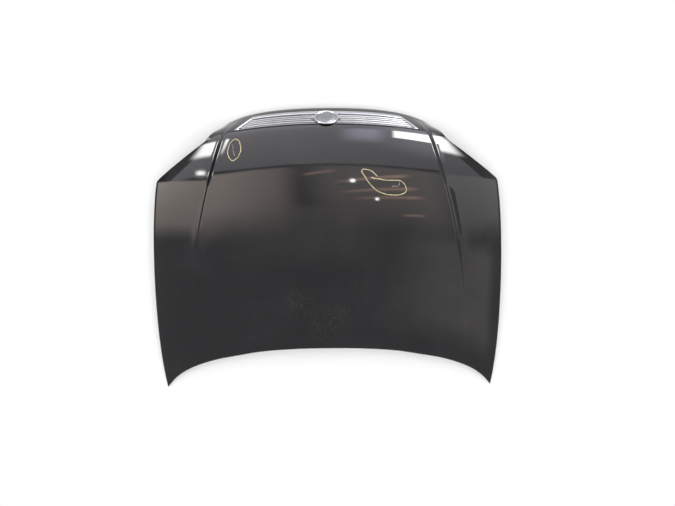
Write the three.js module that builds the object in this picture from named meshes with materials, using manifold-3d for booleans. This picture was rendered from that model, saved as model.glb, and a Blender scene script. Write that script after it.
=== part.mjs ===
// Bonnet of a passenger car: hemmed steel skin on a pressed inner frame, a grille in the nose,
// a striker and a moving safety catch under the front edge.
// Millimetres. The panel is laid out with x to its right, y towards the nose and z up, its zero
// at the middle of the rear edge. At the end it is tipped to lie on its nose lip and rear tips.

import * as THREE from 'three';
import { mergeVertices } from 'three/addons/utils/BufferGeometryUtils.js';
import Module from 'manifold-3d';

const wasm = await Module();
wasm.setup();

// Centre line of the skin from the rear edge to the lip: arcs of length, start and end slope.
const TOP_LENGTH = 560;
const TOP_SLOPE_REAR = 4.5;
const TOP_SLOPE_FRONT = -3.5;
const FORE_LENGTH = 290;
const FORE_SLOPE = -13;
const BROW_LENGTH = 60;
const BROW_SLOPE = -54;
const FACE_LENGTH = 112;
const FACE_SLOPE = -60;
const LIP_LENGTH = 34;
const LIP_SLOPE = -95;
const SKIN_END = TOP_LENGTH + FORE_LENGTH + BROW_LENGTH + FACE_LENGTH + LIP_LENGTH;

// Outline seen from above, as half widths along the centre line.
const SIDE_HALF_WIDTH = 714;
const SIDE_WIDEST_AT = 400;
const SIDE_NARROWING = 25;
const SIDE_NARROWING_OVER = 400;
const CORNER_HALF_WIDTH = 690;
const CORNER_TO_LIP = 288;
const CORNER_AT = SKIN_END - CORNER_TO_LIP;
const LAMP_CUT_SLOPE = 1.98;
const LAMP_CUT_LENGTH = 107;
const LAMP_CUT_END_AT = CORNER_AT + LAMP_CUT_LENGTH;
const LAMP_CUT_END_HALF_WIDTH = 476;
const NOSE_SIDE_SLOPE = 0.48;
const CORNER_ROUNDING = 9;

// How far the side parts lie back from the centre line.
const REAR_SWEEP = 140;
const REAR_TIP_SWEEP = 62;
const REAR_SWEEP_WIDTH = 693;
const NOSE_SWEEP = 24;
const NOSE_SWEEP_WIDTH = 360;
const NOSE_SWEEP_TO_LIP = 296;
const NOSE_SWEEP_AT = SKIN_END - NOSE_SWEEP_TO_LIP;
const LIP_SWEEP = 15;

// Crown across the panel and the turned-down wings outside the creases.
const CROWN_DROP = 30;
const CROWN_WIDTH = 520;
const WING_DROP = 28;
const WING_WIDTH = 200;

// Crease between the raised centre and each wing.
const CREASE_HALF_WIDTH = 560;
const CREASE_PULL_IN = 150;
const CREASE_START_AT = 150;
const CREASE_BEND_TO_LIP = 186;
const CREASE_BEND_AT = SKIN_END - CREASE_BEND_TO_LIP;
const CREASE_NOSE_SLOPE = 0.35;
const CREASE_BAND = 12;
const CREASE_STEP_REAR = 1.5;
const CREASE_STEP_NOSE = 8;
const CREASE_STEP_NOSE_TO_LIP = 236;
const CREASE_STEP_LIP = 1;
const CREASE_STEP_LIP_OVER = 196;

// Sheets and hem.
const SKIN_SHEET = 0.8;
const FRAME_SHEET = 0.8;
const SHEET_GAP = 0.45;
const HEM_WIDTH = 9;
const HEM_BAND = 14;
const FOLD_INSET = 1;
const FRAME_EDGE_INSET = 2.5;
const FRAME_JOINT_GAP = 0.2;
const FRAME_HEM_DEPTH = SKIN_SHEET + SHEET_GAP;
const FOLD_INSIDE = FRAME_HEM_DEPTH + FRAME_SHEET + SHEET_GAP;
const HEM_DEPTH = FOLD_INSIDE + SKIN_SHEET;

// Inner frame.
const BEAM_DEPTH = 25;
const BEAM_WALL = 10;
const CENTRE_RIB_HALF_WIDTH = 28;
const WINDOW_WALL = 8;
const WINDOW_FLANGE = 14;
const WINDOW_FLANGE_DEPTH = 4;
const WINDOWS = 3;
const WINDOW_RIB = 46;
const WINDOW_FIELD_START = 110;
const WINDOW_FIELD_TO_LIP = 332;
const WINDOW_FIELD_END = SKIN_END - WINDOW_FIELD_TO_LIP;
const WINDOW_PITCH = (WINDOW_FIELD_END - WINDOW_FIELD_START + WINDOW_RIB) / WINDOWS;
const WINDOW_LENGTH = WINDOW_PITCH - WINDOW_RIB - 2 * (WINDOW_FLANGE + WINDOW_WALL);
const FIRST_WINDOW_AT = WINDOW_FIELD_START + WINDOW_FLANGE + WINDOW_WALL;
const WINDOW_TO_GRILLE_SIDE = 44;
const UPWARD_REACH = 40;
const UPWARD_STEP = 4;

// Grille opening in the nose face.
const GRILLE_TOP_TO_LIP = 151;
const GRILLE_BOTTOM_TO_LIP = 58;
const GRILLE_TOP_AT = SKIN_END - GRILLE_TOP_TO_LIP;
const GRILLE_BOTTOM_AT = SKIN_END - GRILLE_BOTTOM_TO_LIP;
const GRILLE_TO_CREASE = 38;
const GRILLE_SIDE_SLOPE = 0.68;
const OPENING_FLANGE = 10;

// Grille surround and insert.
const SURROUND_GAP = 0.4;
const SURROUND_OVERLAP = 3;
const SURROUND_FACE = 2.6;
const SURROUND_WALL_INSET = 0.8;
const SURROUND_DEPTH = 10;
const SURROUND_BAR_TOP = 5;
const SURROUND_BAR_BOTTOM = 19;
const SURROUND_BAR_SIDE = 10;
const INSERT_GAP = 0.5;
const INSERT_BACK = 10;
const CLIP_WIDTH = 16;
const CLIP_LENGTH = 8;
const CLIP_SHEET = 1.2;
const CLIP_GAP = 0.6;
const RIBS = 5;
const RIB_FRONT = 0.5;
const RIB_VALLEY = 6.5;

// Medallion.
const MEDALLION_TO_LIP = 111;
const MEDALLION_AT = SKIN_END - MEDALLION_TO_LIP;
const MEDALLION_DIAMETER = 98;
const MEDALLION_RIM = 9;
const MEDALLION_THICKNESS = 5;
const MEDALLION_STANDOFF = 3.2;
const MEDALLION_BOSS = 44;
const MEDALLION_SEAT_GAP = 0.35;
const DISC_DOME = 4;

// Fixings under the panel.
const BOLT_DIAMETER = 8;
const BOLT_HOLE_CLEARANCE = 1;
const NUT_ACROSS_CORNERS = 15;
const NUT_HEIGHT = 6.5;
const HINGE_PLATE_WIDTH = 40;
const HINGE_PLATE_LENGTH = 54;
const HINGE_PLATE_SHEET = 2;
const HINGE_BOLT_PITCH = 30;
const HINGE_PAD_ROW = 67;
const LATCH_TO_LIP = 234;
const LATCH_AT = SKIN_END - LATCH_TO_LIP;
const LATCH_PAD_REAR = 22;
const LATCH_PAD_FRONT = 26;
const STRIKER_BOLT_PITCH = 64;
const STRIKER_PLATE_WIDTH = 170;
const STRIKER_PLATE_LENGTH = 44;
const STRIKER_SHEET = 2.5;
const STRIKER_X = 38;
const BOW_WIRE = 8;
const BOW_WIDTH = 34;
const BOW_DROP = 42;
const CATCH_X = 72;
const CATCH_SHEET = 3;
const CATCH_EAR_SHEET = 2.5;
const CATCH_EAR_SPACE = 14;
const CATCH_PIN = 6;
const CATCH_PIN_DROP = 20;
const CATCH_PIN_GAP = 0.4;
const CATCH_BASE_LENGTH = 30;
const CATCH_LENGTH = 62;
const CATCH_REACH = 44;
const BUFFER_DIAMETER = 26;
const BUFFER_HEIGHT = 10;
const BUFFER_STEM = 7;
const SIDE_BUFFER_AT = FIRST_WINDOW_AT + 2 * WINDOW_PITCH - WINDOW_FLANGE - WINDOW_WALL
  - WINDOW_RIB / 2;
const FRONT_BUFFER_TO_LIP = 244;
const FRONT_BUFFER_AT = SKIN_END - FRONT_BUFFER_TO_LIP;
const FRONT_BUFFER_X = 330;
const BUFFER_HOLE_CLEARANCE = 1;
const GROMMET_HOLE = 16;
const GROMMET_X = -230;
const GROMMET_TO_LIP = 299;
const GROMMET_AT = SKIN_END - GROMMET_TO_LIP;
const SEAT_GAP = 0.8;
const PLAIN_GAP = 0.3;

// Paints and finishes.
const blackPaint = { color: 0x17171c, roughness: 0.18, metalness: 0.35 };
const primer = { color: 0x1d1d20, roughness: 0.5, metalness: 0.1 };
const chrome = { color: 0xd8dadc, roughness: 0.08, metalness: 1 };
const silverPlastic = { color: 0xa9abad, roughness: 0.4, metalness: 0.5 };
const zincSteel = { color: 0xb2b0a6, roughness: 0.38, metalness: 0.9 };
const blackRubber = { color: 0x161616, roughness: 0.85, metalness: 0 };
const mastic = { color: 0x3c3b38, roughness: 0.9, metalness: 0 };

const radians = THREE.MathUtils.degToRad;
const ease = THREE.MathUtils.smoothstep;

function smallest(a, b, round) {
  return (a + b - Math.sqrt((a - b) ** 2 + round ** 2)) / 2;
}

function largest(a, b, round) {
  return (a + b + Math.sqrt((a - b) ** 2 + round ** 2)) / 2;
}

// Point of the centre line at a length from the rear edge.
function centreLine(length) {
  const arcs = [
    [TOP_LENGTH, TOP_SLOPE_REAR, TOP_SLOPE_FRONT],
    [FORE_LENGTH, TOP_SLOPE_FRONT, FORE_SLOPE],
    [BROW_LENGTH, FORE_SLOPE, BROW_SLOPE],
    [FACE_LENGTH, BROW_SLOPE, FACE_SLOPE],
    [LIP_LENGTH, FACE_SLOPE, LIP_SLOPE],
  ];
  const point = new THREE.Vector2();
  let left = length;
  for (const [arc, from, to] of arcs) {
    const start = radians(from);
    const bend = radians(to - from) / arc;
    const run = arc === LIP_LENGTH ? left : Math.min(left, arc);
    const end = start + bend * run;
    point.x += (Math.sin(end) - Math.sin(start)) / bend;
    point.y -= (Math.cos(end) - Math.cos(start)) / bend;
    left -= run;
    if (left <= 0) break;
  }
  return point;
}

function creaseAt(length) {
  const along = Math.max(0, Math.min(length, CREASE_BEND_AT) - CREASE_START_AT);
  const pull = CREASE_PULL_IN * (along / (CREASE_BEND_AT - CREASE_START_AT)) ** 1.7;
  return CREASE_HALF_WIDTH - pull - CREASE_NOSE_SLOPE * Math.max(0, length - CREASE_BEND_AT);
}

function creaseStep(length) {
  const riseEnd = SKIN_END - CREASE_STEP_NOSE_TO_LIP;
  const fallStart = SKIN_END - CREASE_STEP_LIP_OVER;
  const rise = (CREASE_STEP_NOSE - CREASE_STEP_REAR) * ease(length, 0, riseEnd);
  const fall = (CREASE_STEP_NOSE - CREASE_STEP_LIP) * ease(length, fallStart, SKIN_END);
  return CREASE_STEP_REAR + rise - fall;
}

function halfWidth(length) {
  const share = (length - SIDE_WIDEST_AT) / SIDE_NARROWING_OVER;
  const side = SIDE_HALF_WIDTH - SIDE_NARROWING * share ** 2;
  const lamp = CORNER_HALF_WIDTH - LAMP_CUT_SLOPE * (length - CORNER_AT);
  const nose = LAMP_CUT_END_HALF_WIDTH - NOSE_SIDE_SLOPE * (length - LAMP_CUT_END_AT);
  return smallest(side, largest(lamp, nose, CORNER_ROUNDING * 1.5), CORNER_ROUNDING);
}

function grilleSide(length) {
  const top = creaseAt(GRILLE_TOP_AT) - GRILLE_TO_CREASE;
  if (length <= GRILLE_TOP_AT) return creaseAt(length) - GRILLE_TO_CREASE;
  return top - GRILLE_SIDE_SLOPE * (length - GRILLE_TOP_AT);
}

// Point of the outer surface at x and at a length along the centre line.
function surface(x, length) {
  const centre = centreLine(length);
  const wide = Math.abs(x);
  const share = wide / REAR_SWEEP_WIDTH;
  const rear = REAR_SWEEP * share ** 2.4 + REAR_TIP_SWEEP * share ** 12;
  const nose = NOSE_SWEEP * (wide / NOSE_SWEEP_WIDTH) ** 2;
  const lip = LIP_SWEEP * (wide / NOSE_SWEEP_WIDTH) ** 5 * ease(length, GRILLE_TOP_AT, SKIN_END);
  const turn = ease(length, 0, NOSE_SWEEP_AT);
  const past = Math.max(0, wide - creaseAt(length));
  let drop = CROWN_DROP * (wide / CROWN_WIDTH) ** 2;
  drop += WING_DROP * (past / WING_WIDTH) ** 1.8;
  drop += creaseStep(length) * ease(wide - creaseAt(length), -CREASE_BAND, CREASE_BAND);
  return new THREE.Vector3(x, centre.x - rear * (1 - turn) - nose * turn - lip, centre.y - drop);
}

// Upward direction of the panel, taken over a wide step so that the crease doesn't tilt it.
function upward(x, length) {
  const across = surface(x + UPWARD_REACH, length).sub(surface(x - UPWARD_REACH, length));
  const ahead = surface(x, Math.min(length + UPWARD_STEP, SKIN_END));
  const along = ahead.sub(surface(x, Math.max(length - UPWARD_STEP, 0)));
  return across.cross(along).normalize();
}

function under(x, length, depth) {
  return surface(x, length).addScaledVector(upward(x, length), -depth);
}

// Lines of the sheets: half of the columns across, and the rows along the panel.
function columnsAt(length) {
  const edge = halfWidth(length);
  const crease = creaseAt(length);
  const grille = grilleSide(length);
  const ribOuter = CENTRE_RIB_HALF_WIDTH + WINDOW_WALL;
  const windowInner = ribOuter + WINDOW_FLANGE;
  const windowOuter = grille - WINDOW_TO_GRILLE_SIDE;
  const wing = crease + CREASE_BAND;
  const wall = edge - HEM_BAND - BEAM_WALL;
  return [
    0,
    CENTRE_RIB_HALF_WIDTH,
    ribOuter,
    windowInner,
    (windowInner + windowOuter) / 2,
    windowOuter,
    windowOuter + WINDOW_FLANGE,
    windowOuter + WINDOW_FLANGE + WINDOW_WALL,
    grille,
    crease - CREASE_BAND,
    wing,
    wing + (wall - wing) / 3,
    wing + (wall - wing) * 2 / 3,
    wall,
    edge - HEM_BAND,
    edge,
  ];
}

const HALF_COLUMNS = 15;
const COLUMNS = 2 * HALF_COLUMNS;
const windowStarts = Array.from({ length: WINDOWS }, (_, k) => FIRST_WINDOW_AT + k * WINDOW_PITCH);
const windowRows = windowStarts.flatMap((start) => [
  start - WINDOW_FLANGE - WINDOW_WALL,
  start - WINDOW_FLANGE,
  start,
  start + WINDOW_LENGTH,
  start + WINDOW_LENGTH + WINDOW_FLANGE,
  start + WINDOW_LENGTH + WINDOW_FLANGE + WINDOW_WALL,
]);
const latchRows = [LATCH_AT - LATCH_PAD_REAR, LATCH_AT + LATCH_PAD_FRONT];
const cornerRows = [
  (WINDOW_FIELD_END + CORNER_AT) / 2,
  CORNER_AT,
  (CORNER_AT + latchRows[0]) / 2,
  latchRows[0],
  (latchRows[0] + latchRows[1]) / 2,
  latchRows[1],
  LAMP_CUT_END_AT - CORNER_ROUNDING,
  (LAMP_CUT_END_AT - CORNER_ROUNDING + GRILLE_TOP_AT) / 2,
];
const grilleRows = [0, 0.25, 0.75, 1].map((share) => (
  GRILLE_TOP_AT + share * (GRILLE_BOTTOM_AT - GRILLE_TOP_AT)));
const lipWall = SKIN_END - HEM_BAND - BEAM_WALL;
const lipRows = [(GRILLE_BOTTOM_AT + lipWall) / 2, lipWall, SKIN_END - HEM_BAND, SKIN_END];
const ROWS = [0, HEM_BAND, HEM_BAND + BEAM_WALL, ...windowRows, ...cornerRows, ...grilleRows,
  ...lipRows];
const LAST_ROW = ROWS.length - 1;
const GRILLE_ROW = ROWS.indexOf(GRILLE_TOP_AT);
const GRILLE_END_ROW = GRILLE_ROW + grilleRows.length - 1;
const GRILLE_COLUMN = 8;
const LATCH_ROWS = latchRows.map((row) => ROWS.indexOf(row));

function columnX(column, length) {
  const half = column - HALF_COLUMNS;
  return Math.sign(half) * columnsAt(length)[Math.abs(half)];
}

// Point at a grid crossing, moved in from the outer edge and down from the surface.
function crossing(row, column, inset, depth, shift = { x: 0, length: 0 }) {
  let length = ROWS[row] + shift.length;
  if (row === 0) length += inset;
  if (row === LAST_ROW) length -= inset;
  let x = columnX(column, length) + shift.x;
  if (column === 0) x += inset;
  if (column === COLUMNS) x -= inset;
  return under(x, length, depth);
}

function isOuterEdge(row, column) {
  return row === 0 || row === LAST_ROW || column === 0 || column === COLUMNS;
}

// Closed sheet over a grid: two faces, and along every free edge a strip through the edge points.
function gridSheet(rows, columns, hasCell, top, bottom, edgePoints) {
  const points = [];
  const known = new Map();
  const faces = [];
  const vertex = (row, column, level, make) => {
    const key = `${row},${column},${level}`;
    if (!known.has(key)) {
      known.set(key, points.length / 3);
      points.push(...make().toArray());
    }
    return known.get(key);
  };
  const above = (row, column) => vertex(row, column, 'top', () => top(row, column));
  const below = (row, column) => vertex(row, column, 'bottom', () => bottom(row, column));
  const quad = (a, b, c, d, flip) => {
    if (flip) faces.push(a, b, d, b, c, d);
    else faces.push(a, b, c, a, c, d);
  };
  const rim = (from, to) => {
    const chain = ([row, column]) => [
      above(row, column),
      ...edgePoints(row, column).map((point, level) => vertex(row, column, level, () => point)),
      below(row, column),
    ];
    const first = chain(from);
    const second = chain(to);
    for (let level = 0; level + 1 < first.length; level += 1) {
      quad(first[level + 1], second[level + 1], second[level], first[level], false);
    }
  };
  for (let row = 0; row < rows; row += 1) {
    for (let column = 0; column < columns; column += 1) {
      if (!hasCell(row, column)) continue;
      const corners = [[row, column], [row, column + 1], [row + 1, column + 1], [row + 1, column]];
      const flip = column < columns / 2;
      quad(...corners.map((corner) => above(...corner)), flip);
      const [a, b, c, d] = corners.map((corner) => below(...corner));
      quad(d, c, b, a, flip);
      const free = [[row - 1, column], [row, column + 1], [row + 1, column], [row, column - 1]];
      free.forEach(([nextRow, nextColumn], side) => {
        const inside = nextRow >= 0 && nextRow < rows && nextColumn >= 0 && nextColumn < columns;
        if (inside && hasCell(nextRow, nextColumn)) return;
        rim(corners[side], corners[(side + 1) % 4]);
      });
    }
  }
  const geometry = new THREE.BufferGeometry();
  geometry.setAttribute('position', new THREE.Float32BufferAttribute(points, 3));
  geometry.setIndex(faces);
  return geometry;
}

function toSolid(geometry) {
  const bare = geometry.clone();
  bare.deleteAttribute('normal');
  bare.deleteAttribute('uv');
  const merged = mergeVertices(bare, 1e-4);
  return new wasm.Manifold(new wasm.Mesh({
    numProp: 3,
    vertProperties: Float32Array.from(merged.attributes.position.array),
    triVerts: Uint32Array.from(merged.index.array),
  }));
}

function fromSolid(solid) {
  const { vertProperties, triVerts, numProp } = solid.getMesh();
  const positions = [];
  for (let start = 0; start < vertProperties.length; start += numProp) {
    positions.push(vertProperties[start], vertProperties[start + 1], vertProperties[start + 2]);
  }
  const geometry = new THREE.BufferGeometry();
  geometry.setAttribute('position', new THREE.Float32BufferAttribute(positions, 3));
  geometry.setIndex(Array.from(triVerts));
  return geometry;
}

function joined(...geometries) {
  return fromSolid(geometries.map(toSolid).reduce((whole, piece) => whole.add(piece)));
}

function cut(geometry, tools) {
  return fromSolid(tools.map(toSolid).reduce((rest, tool) => rest.subtract(tool), toSolid(geometry)));
}

// Local frame on the panel: x to the right, y forward along it, z out of it, at a depth.
function seat(x, length, depth) {
  const up = upward(x, length);
  const forward = new THREE.Vector3(0, 1, 0);
  forward.addScaledVector(up, -forward.dot(up)).normalize();
  const right = forward.clone().cross(up);
  return new THREE.Matrix4().makeBasis(right, forward, up).setPosition(under(x, length, depth));
}

function box(width, length, height, x, y, z) {
  return new THREE.BoxGeometry(width, length, height).translate(x, y, z);
}

function post(diameter, height, x, y, z, sides = 16) {
  const shape = new THREE.CylinderGeometry(diameter / 2, diameter / 2, height, sides);
  return shape.rotateX(Math.PI / 2).translate(x, y, z);
}

// Profile of radius and height turned about the z axis.
function turned(profile, sides) {
  const points = profile.map(([radius, height]) => new THREE.Vector2(radius, height));
  return new THREE.LatheGeometry(points, sides).rotateX(Math.PI / 2);
}

function outerSkin() {
  const isHole = (row, column) => (
    row >= GRILLE_ROW && row < GRILLE_END_ROW
    && column >= HALF_COLUMNS - GRILLE_COLUMN && column < HALF_COLUMNS + GRILLE_COLUMN);
  const opening = (row, column, outward, depth) => {
    let length = ROWS[row];
    if (row === GRILLE_ROW) length -= outward;
    if (row === GRILLE_END_ROW) length += outward;
    const side = column - HALF_COLUMNS;
    let x = columnX(column, length);
    if (Math.abs(side) === GRILLE_COLUMN) x += Math.sign(side) * outward;
    return under(x, length, depth);
  };
  const isOpeningEdge = (row, column) => (
    row >= GRILLE_ROW && row <= GRILLE_END_ROW && Math.abs(column - HALF_COLUMNS) <= GRILLE_COLUMN
    && (row === GRILLE_ROW || row === GRILLE_END_ROW
      || Math.abs(column - HALF_COLUMNS) === GRILLE_COLUMN));
  const bottom = (row, column) => {
    if (isOuterEdge(row, column)) return crossing(row, column, FOLD_INSET, SKIN_SHEET);
    if (isOpeningEdge(row, column)) return opening(row, column, SKIN_SHEET, SKIN_SHEET);
    return crossing(row, column, 0, SKIN_SHEET);
  };
  const edges = (row, column) => {
    if (!isOuterEdge(row, column)) {
      return [
        opening(row, column, 0, OPENING_FLANGE),
        opening(row, column, SKIN_SHEET, OPENING_FLANGE),
      ];
    }
    return [
      crossing(row, column, 0, HEM_DEPTH),
      crossing(row, column, HEM_WIDTH, HEM_DEPTH),
      crossing(row, column, HEM_WIDTH, FOLD_INSIDE),
      crossing(row, column, FOLD_INSET, FOLD_INSIDE),
    ];
  };
  return gridSheet(LAST_ROW, COLUMNS, (row, column) => !isHole(row, column),
    (row, column) => crossing(row, column, 0, 0), bottom, edges);
}

function hingeSide(side) {
  const middle = side * (columnsAt(HINGE_PAD_ROW)[10] + columnsAt(HINGE_PAD_ROW)[12]) / 2;
  return seat(middle, HINGE_PAD_ROW, BEAM_DEPTH);
}

function latchSeat() {
  return seat(0, LATCH_AT, BEAM_DEPTH);
}

function flattened(point, frame) {
  const local = point.clone().applyMatrix4(frame.clone().invert());
  local.z = 0;
  return local.applyMatrix4(frame);
}

function hingeHoles() {
  return [-1, 1].flatMap((side) => [-1, 1].map((end) => (
    post(BOLT_DIAMETER + BOLT_HOLE_CLEARANCE, 12, 0, end * HINGE_BOLT_PITCH / 2, 0)
      .applyMatrix4(hingeSide(side)))));
}

// Frame in the middle of one flat field of the inner frame's side beam.
function sideBeamSeat(side) {
  const corner = (end, column) => {
    const length = SIDE_BUFFER_AT + end * WINDOW_RIB / 2;
    return under(side * columnsAt(length)[column], length, BEAM_DEPTH);
  };
  const [a, b, c, d] = [corner(-1, 12), corner(-1, 13), corner(1, 12), corner(1, 13)];
  const middle = a.clone().add(b).add(c).add(d).multiplyScalar(0.25);
  const right = b.clone().add(d).sub(a).sub(c).multiplyScalar(side).normalize();
  const forward = c.clone().add(d).sub(a).sub(b);
  forward.addScaledVector(right, -forward.dot(right)).normalize();
  const up = right.clone().cross(forward);
  return new THREE.Matrix4().makeBasis(right, forward, up).setPosition(middle);
}

function bufferSeats() {
  return [
    sideBeamSeat(-1),
    sideBeamSeat(1),
    seat(-FRONT_BUFFER_X, FRONT_BUFFER_AT, BEAM_DEPTH),
    seat(FRONT_BUFFER_X, FRONT_BUFFER_AT, BEAM_DEPTH),
  ];
}

// Fields of the inner frame: name, first and last row, first and last column from the middle.
// A field named left has a mirror image on the right.
function frameFields() {
  const firstRow = ROWS.indexOf(windowStarts[0]);
  const lastRow = ROWS.indexOf(windowStarts[WINDOWS - 1] + WINDOW_LENGTH);
  const fields = [
    ['rear', 0, firstRow, -HALF_COLUMNS, HALF_COLUMNS],
    ['spine', firstRow, lastRow, -3, 3],
    ['front', lastRow, GRILLE_ROW, -9, 9],
    ['nose', GRILLE_ROW, LAST_ROW, -9, 9],
  ];
  fields.push(['beam_left', firstRow, lastRow, -9, -5]);
  fields.push(['wing_left', firstRow, lastRow, -HALF_COLUMNS, -9]);
  fields.push(['corner_left', lastRow, LAST_ROW, -HALF_COLUMNS, -9]);
  windowStarts.slice(1).forEach((start, k) => {
    const before = ROWS.indexOf(windowStarts[k] + WINDOW_LENGTH);
    fields.push([`rib_${k + 1}_left`, before, ROWS.indexOf(start), -5, -3]);
  });
  return fields;
}

function innerFrame(firstRow, lastRow, firstColumn, lastColumn) {
  const inField = (row, column) => row >= firstRow && row < lastRow
    && column - HALF_COLUMNS >= firstColumn && column - HALF_COLUMNS < lastColumn;
  const joint = (row, column) => {
    const side = column - HALF_COLUMNS;
    const shift = { x: 0, length: 0 };
    if (row === firstRow && row > 0) shift.length = FRAME_JOINT_GAP / 2;
    if (row === lastRow && row < LAST_ROW) shift.length = -FRAME_JOINT_GAP / 2;
    if (side === firstColumn && column > 0) shift.x = FRAME_JOINT_GAP / 2;
    if (side === lastColumn && column < COLUMNS) shift.x = -FRAME_JOINT_GAP / 2;
    return shift;
  };
  const inHigh = (row, column) => {
    const side = Math.abs(column - HALF_COLUMNS);
    return side >= 2 && side <= 6 && windowStarts.some((start) => (
      ROWS[row] >= start - WINDOW_FLANGE && ROWS[row] <= start + WINDOW_LENGTH + WINDOW_FLANGE));
  };
  const isWindow = (row, column) => {
    const side = column < HALF_COLUMNS ? HALF_COLUMNS - column - 1 : column - HALF_COLUMNS;
    const windowed = windowStarts.includes(ROWS[row]);
    const airRow = row > GRILLE_ROW && row < GRILLE_END_ROW - 1;
    return (windowed && (side === 3 || side === 4 || side === 11))
      || (airRow && (side === 3 || side === 4));
  };
  const onHem = (row, column) => row <= 1 || row >= LAST_ROW - 1
    || column <= 1 || column >= COLUMNS - 1;
  const depthAt = (row, column) => {
    if (onHem(row, column)) return FRAME_HEM_DEPTH;
    return inHigh(row, column) ? WINDOW_FLANGE_DEPTH : BEAM_DEPTH;
  };
  const level = (row, column, sheet) => {
    const point = crossing(row, column, isOuterEdge(row, column) ? FRAME_EDGE_INSET : 0,
      depthAt(row, column) + sheet, joint(row, column));
    const side = column - HALF_COLUMNS;
    const onHinge = row >= 2 && row <= 3 && Math.abs(side) >= 10 && Math.abs(side) <= 12;
    const onLatch = row >= LATCH_ROWS[0] && row <= LATCH_ROWS[1] && Math.abs(side) <= 4;
    if (!onHinge && !onLatch) return point;
    const frame = onHinge ? hingeSide(Math.sign(side)) : latchSeat();
    return flattened(point, frame).addScaledVector(
      new THREE.Vector3().setFromMatrixColumn(frame, 2), -sheet);
  };
  const isSheet = (row, column) => inField(row, column) && !isWindow(row, column);
  const sheet = gridSheet(LAST_ROW, COLUMNS, isSheet,
    (row, column) => level(row, column, 0), (row, column) => level(row, column, FRAME_SHEET),
    () => []);
  const latchHoles = [-1, 1].map((side) => (
    post(BOLT_DIAMETER + BOLT_HOLE_CLEARANCE, 12, side * STRIKER_BOLT_PITCH / 2, 0, 0)
      .applyMatrix4(latchSeat())));
  const bufferHoles = bufferSeats().map((frame) => (
    post(BUFFER_STEM + BUFFER_HOLE_CLEARANCE, 12, 0, 0, 0, 16).applyMatrix4(frame)));
  const grommetHole = post(GROMMET_HOLE + BUFFER_HOLE_CLEARANCE, 12, 0, 0, 0)
    .applyMatrix4(seat(GROMMET_X, GROMMET_AT, BEAM_DEPTH));
  return cut(sheet, [...hingeHoles(), ...latchHoles, ...bufferHoles, grommetHole]);
}

// The same solid on the other side of the panel, with its faces still turned outwards.
function mirrored(geometry) {
  const copy = geometry.clone().scale(-1, 1, 1);
  const corners = Array.from(copy.index.array);
  for (let k = 0; k < corners.length; k += 3) {
    [corners[k + 1], corners[k + 2]] = [corners[k + 2], corners[k + 1]];
  }
  copy.setIndex(corners);
  return copy;
}

function hingeReinforcement(side) {
  const z = PLAIN_GAP + HINGE_PLATE_SHEET / 2;
  const plate = box(HINGE_PLATE_WIDTH, HINGE_PLATE_LENGTH, HINGE_PLATE_SHEET, 0, 0, z);
  const holes = [-1, 1].map((end) => (
    post(BOLT_DIAMETER + BOLT_HOLE_CLEARANCE, 8, 0, end * HINGE_BOLT_PITCH / 2, z)));
  return cut(plate, holes).applyMatrix4(hingeSide(side));
}

function weldNut(frame, x, y, z) {
  const body = post(NUT_ACROSS_CORNERS, NUT_HEIGHT, 0, 0, NUT_HEIGHT / 2, 6);
  const bore = post(BOLT_DIAMETER, NUT_HEIGHT + 2, 0, 0, NUT_HEIGHT / 2, 12);
  return cut(body, [bore]).translate(x, y, z).applyMatrix4(frame);
}

function hingeWeldNut(side, end) {
  const z = 2 * PLAIN_GAP + HINGE_PLATE_SHEET;
  return weldNut(hingeSide(side), 0, end * HINGE_BOLT_PITCH / 2, z);
}

function strikerReinforcement() {
  const z = PLAIN_GAP + STRIKER_SHEET / 2;
  const width = STRIKER_BOLT_PITCH + 26;
  const plate = box(width, STRIKER_PLATE_LENGTH - 6, STRIKER_SHEET, 0, 0, z);
  const holes = [-1, 1].map((side) => (
    post(BOLT_DIAMETER + BOLT_HOLE_CLEARANCE, 8, side * STRIKER_BOLT_PITCH / 2, 0, z)));
  return cut(plate, holes).applyMatrix4(latchSeat());
}

function strikerNut(side) {
  const z = 2 * PLAIN_GAP + STRIKER_SHEET;
  return weldNut(latchSeat(), side * STRIKER_BOLT_PITCH / 2, 0, z);
}

const STRIKER_TOP = -FRAME_SHEET - PLAIN_GAP;
const STRIKER_BOTTOM = STRIKER_TOP - STRIKER_SHEET;

function strikerBolt(side) {
  const head = post(16, 5, 0, 0, STRIKER_BOTTOM - PLAIN_GAP - 2.5, 6);
  const flange = post(19, 1.6, 0, 0, STRIKER_BOTTOM - PLAIN_GAP - 0.8);
  const top = 2 * PLAIN_GAP + STRIKER_SHEET + NUT_HEIGHT + 1.5;
  const bottom = STRIKER_BOTTOM - 1;
  const shank = post(BOLT_DIAMETER - 2 * PLAIN_GAP, top - bottom, 0, 0, (top + bottom) / 2, 16);
  return joined(head, flange, shank).translate(side * STRIKER_BOLT_PITCH / 2, 0, 0)
    .applyMatrix4(latchSeat());
}

function tube(points, diameter, steps, sides) {
  const ring = Array.from({ length: sides }, (_, k) => {
    const turn = 2 * Math.PI * k / sides;
    return new THREE.Vector2(Math.cos(turn), Math.sin(turn)).multiplyScalar(diameter / 2);
  });
  const path = new THREE.CatmullRomCurve3(points, false, 'centripetal');
  return new THREE.ExtrudeGeometry(new THREE.Shape(ring), { steps, extrudePath: path });
}

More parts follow.
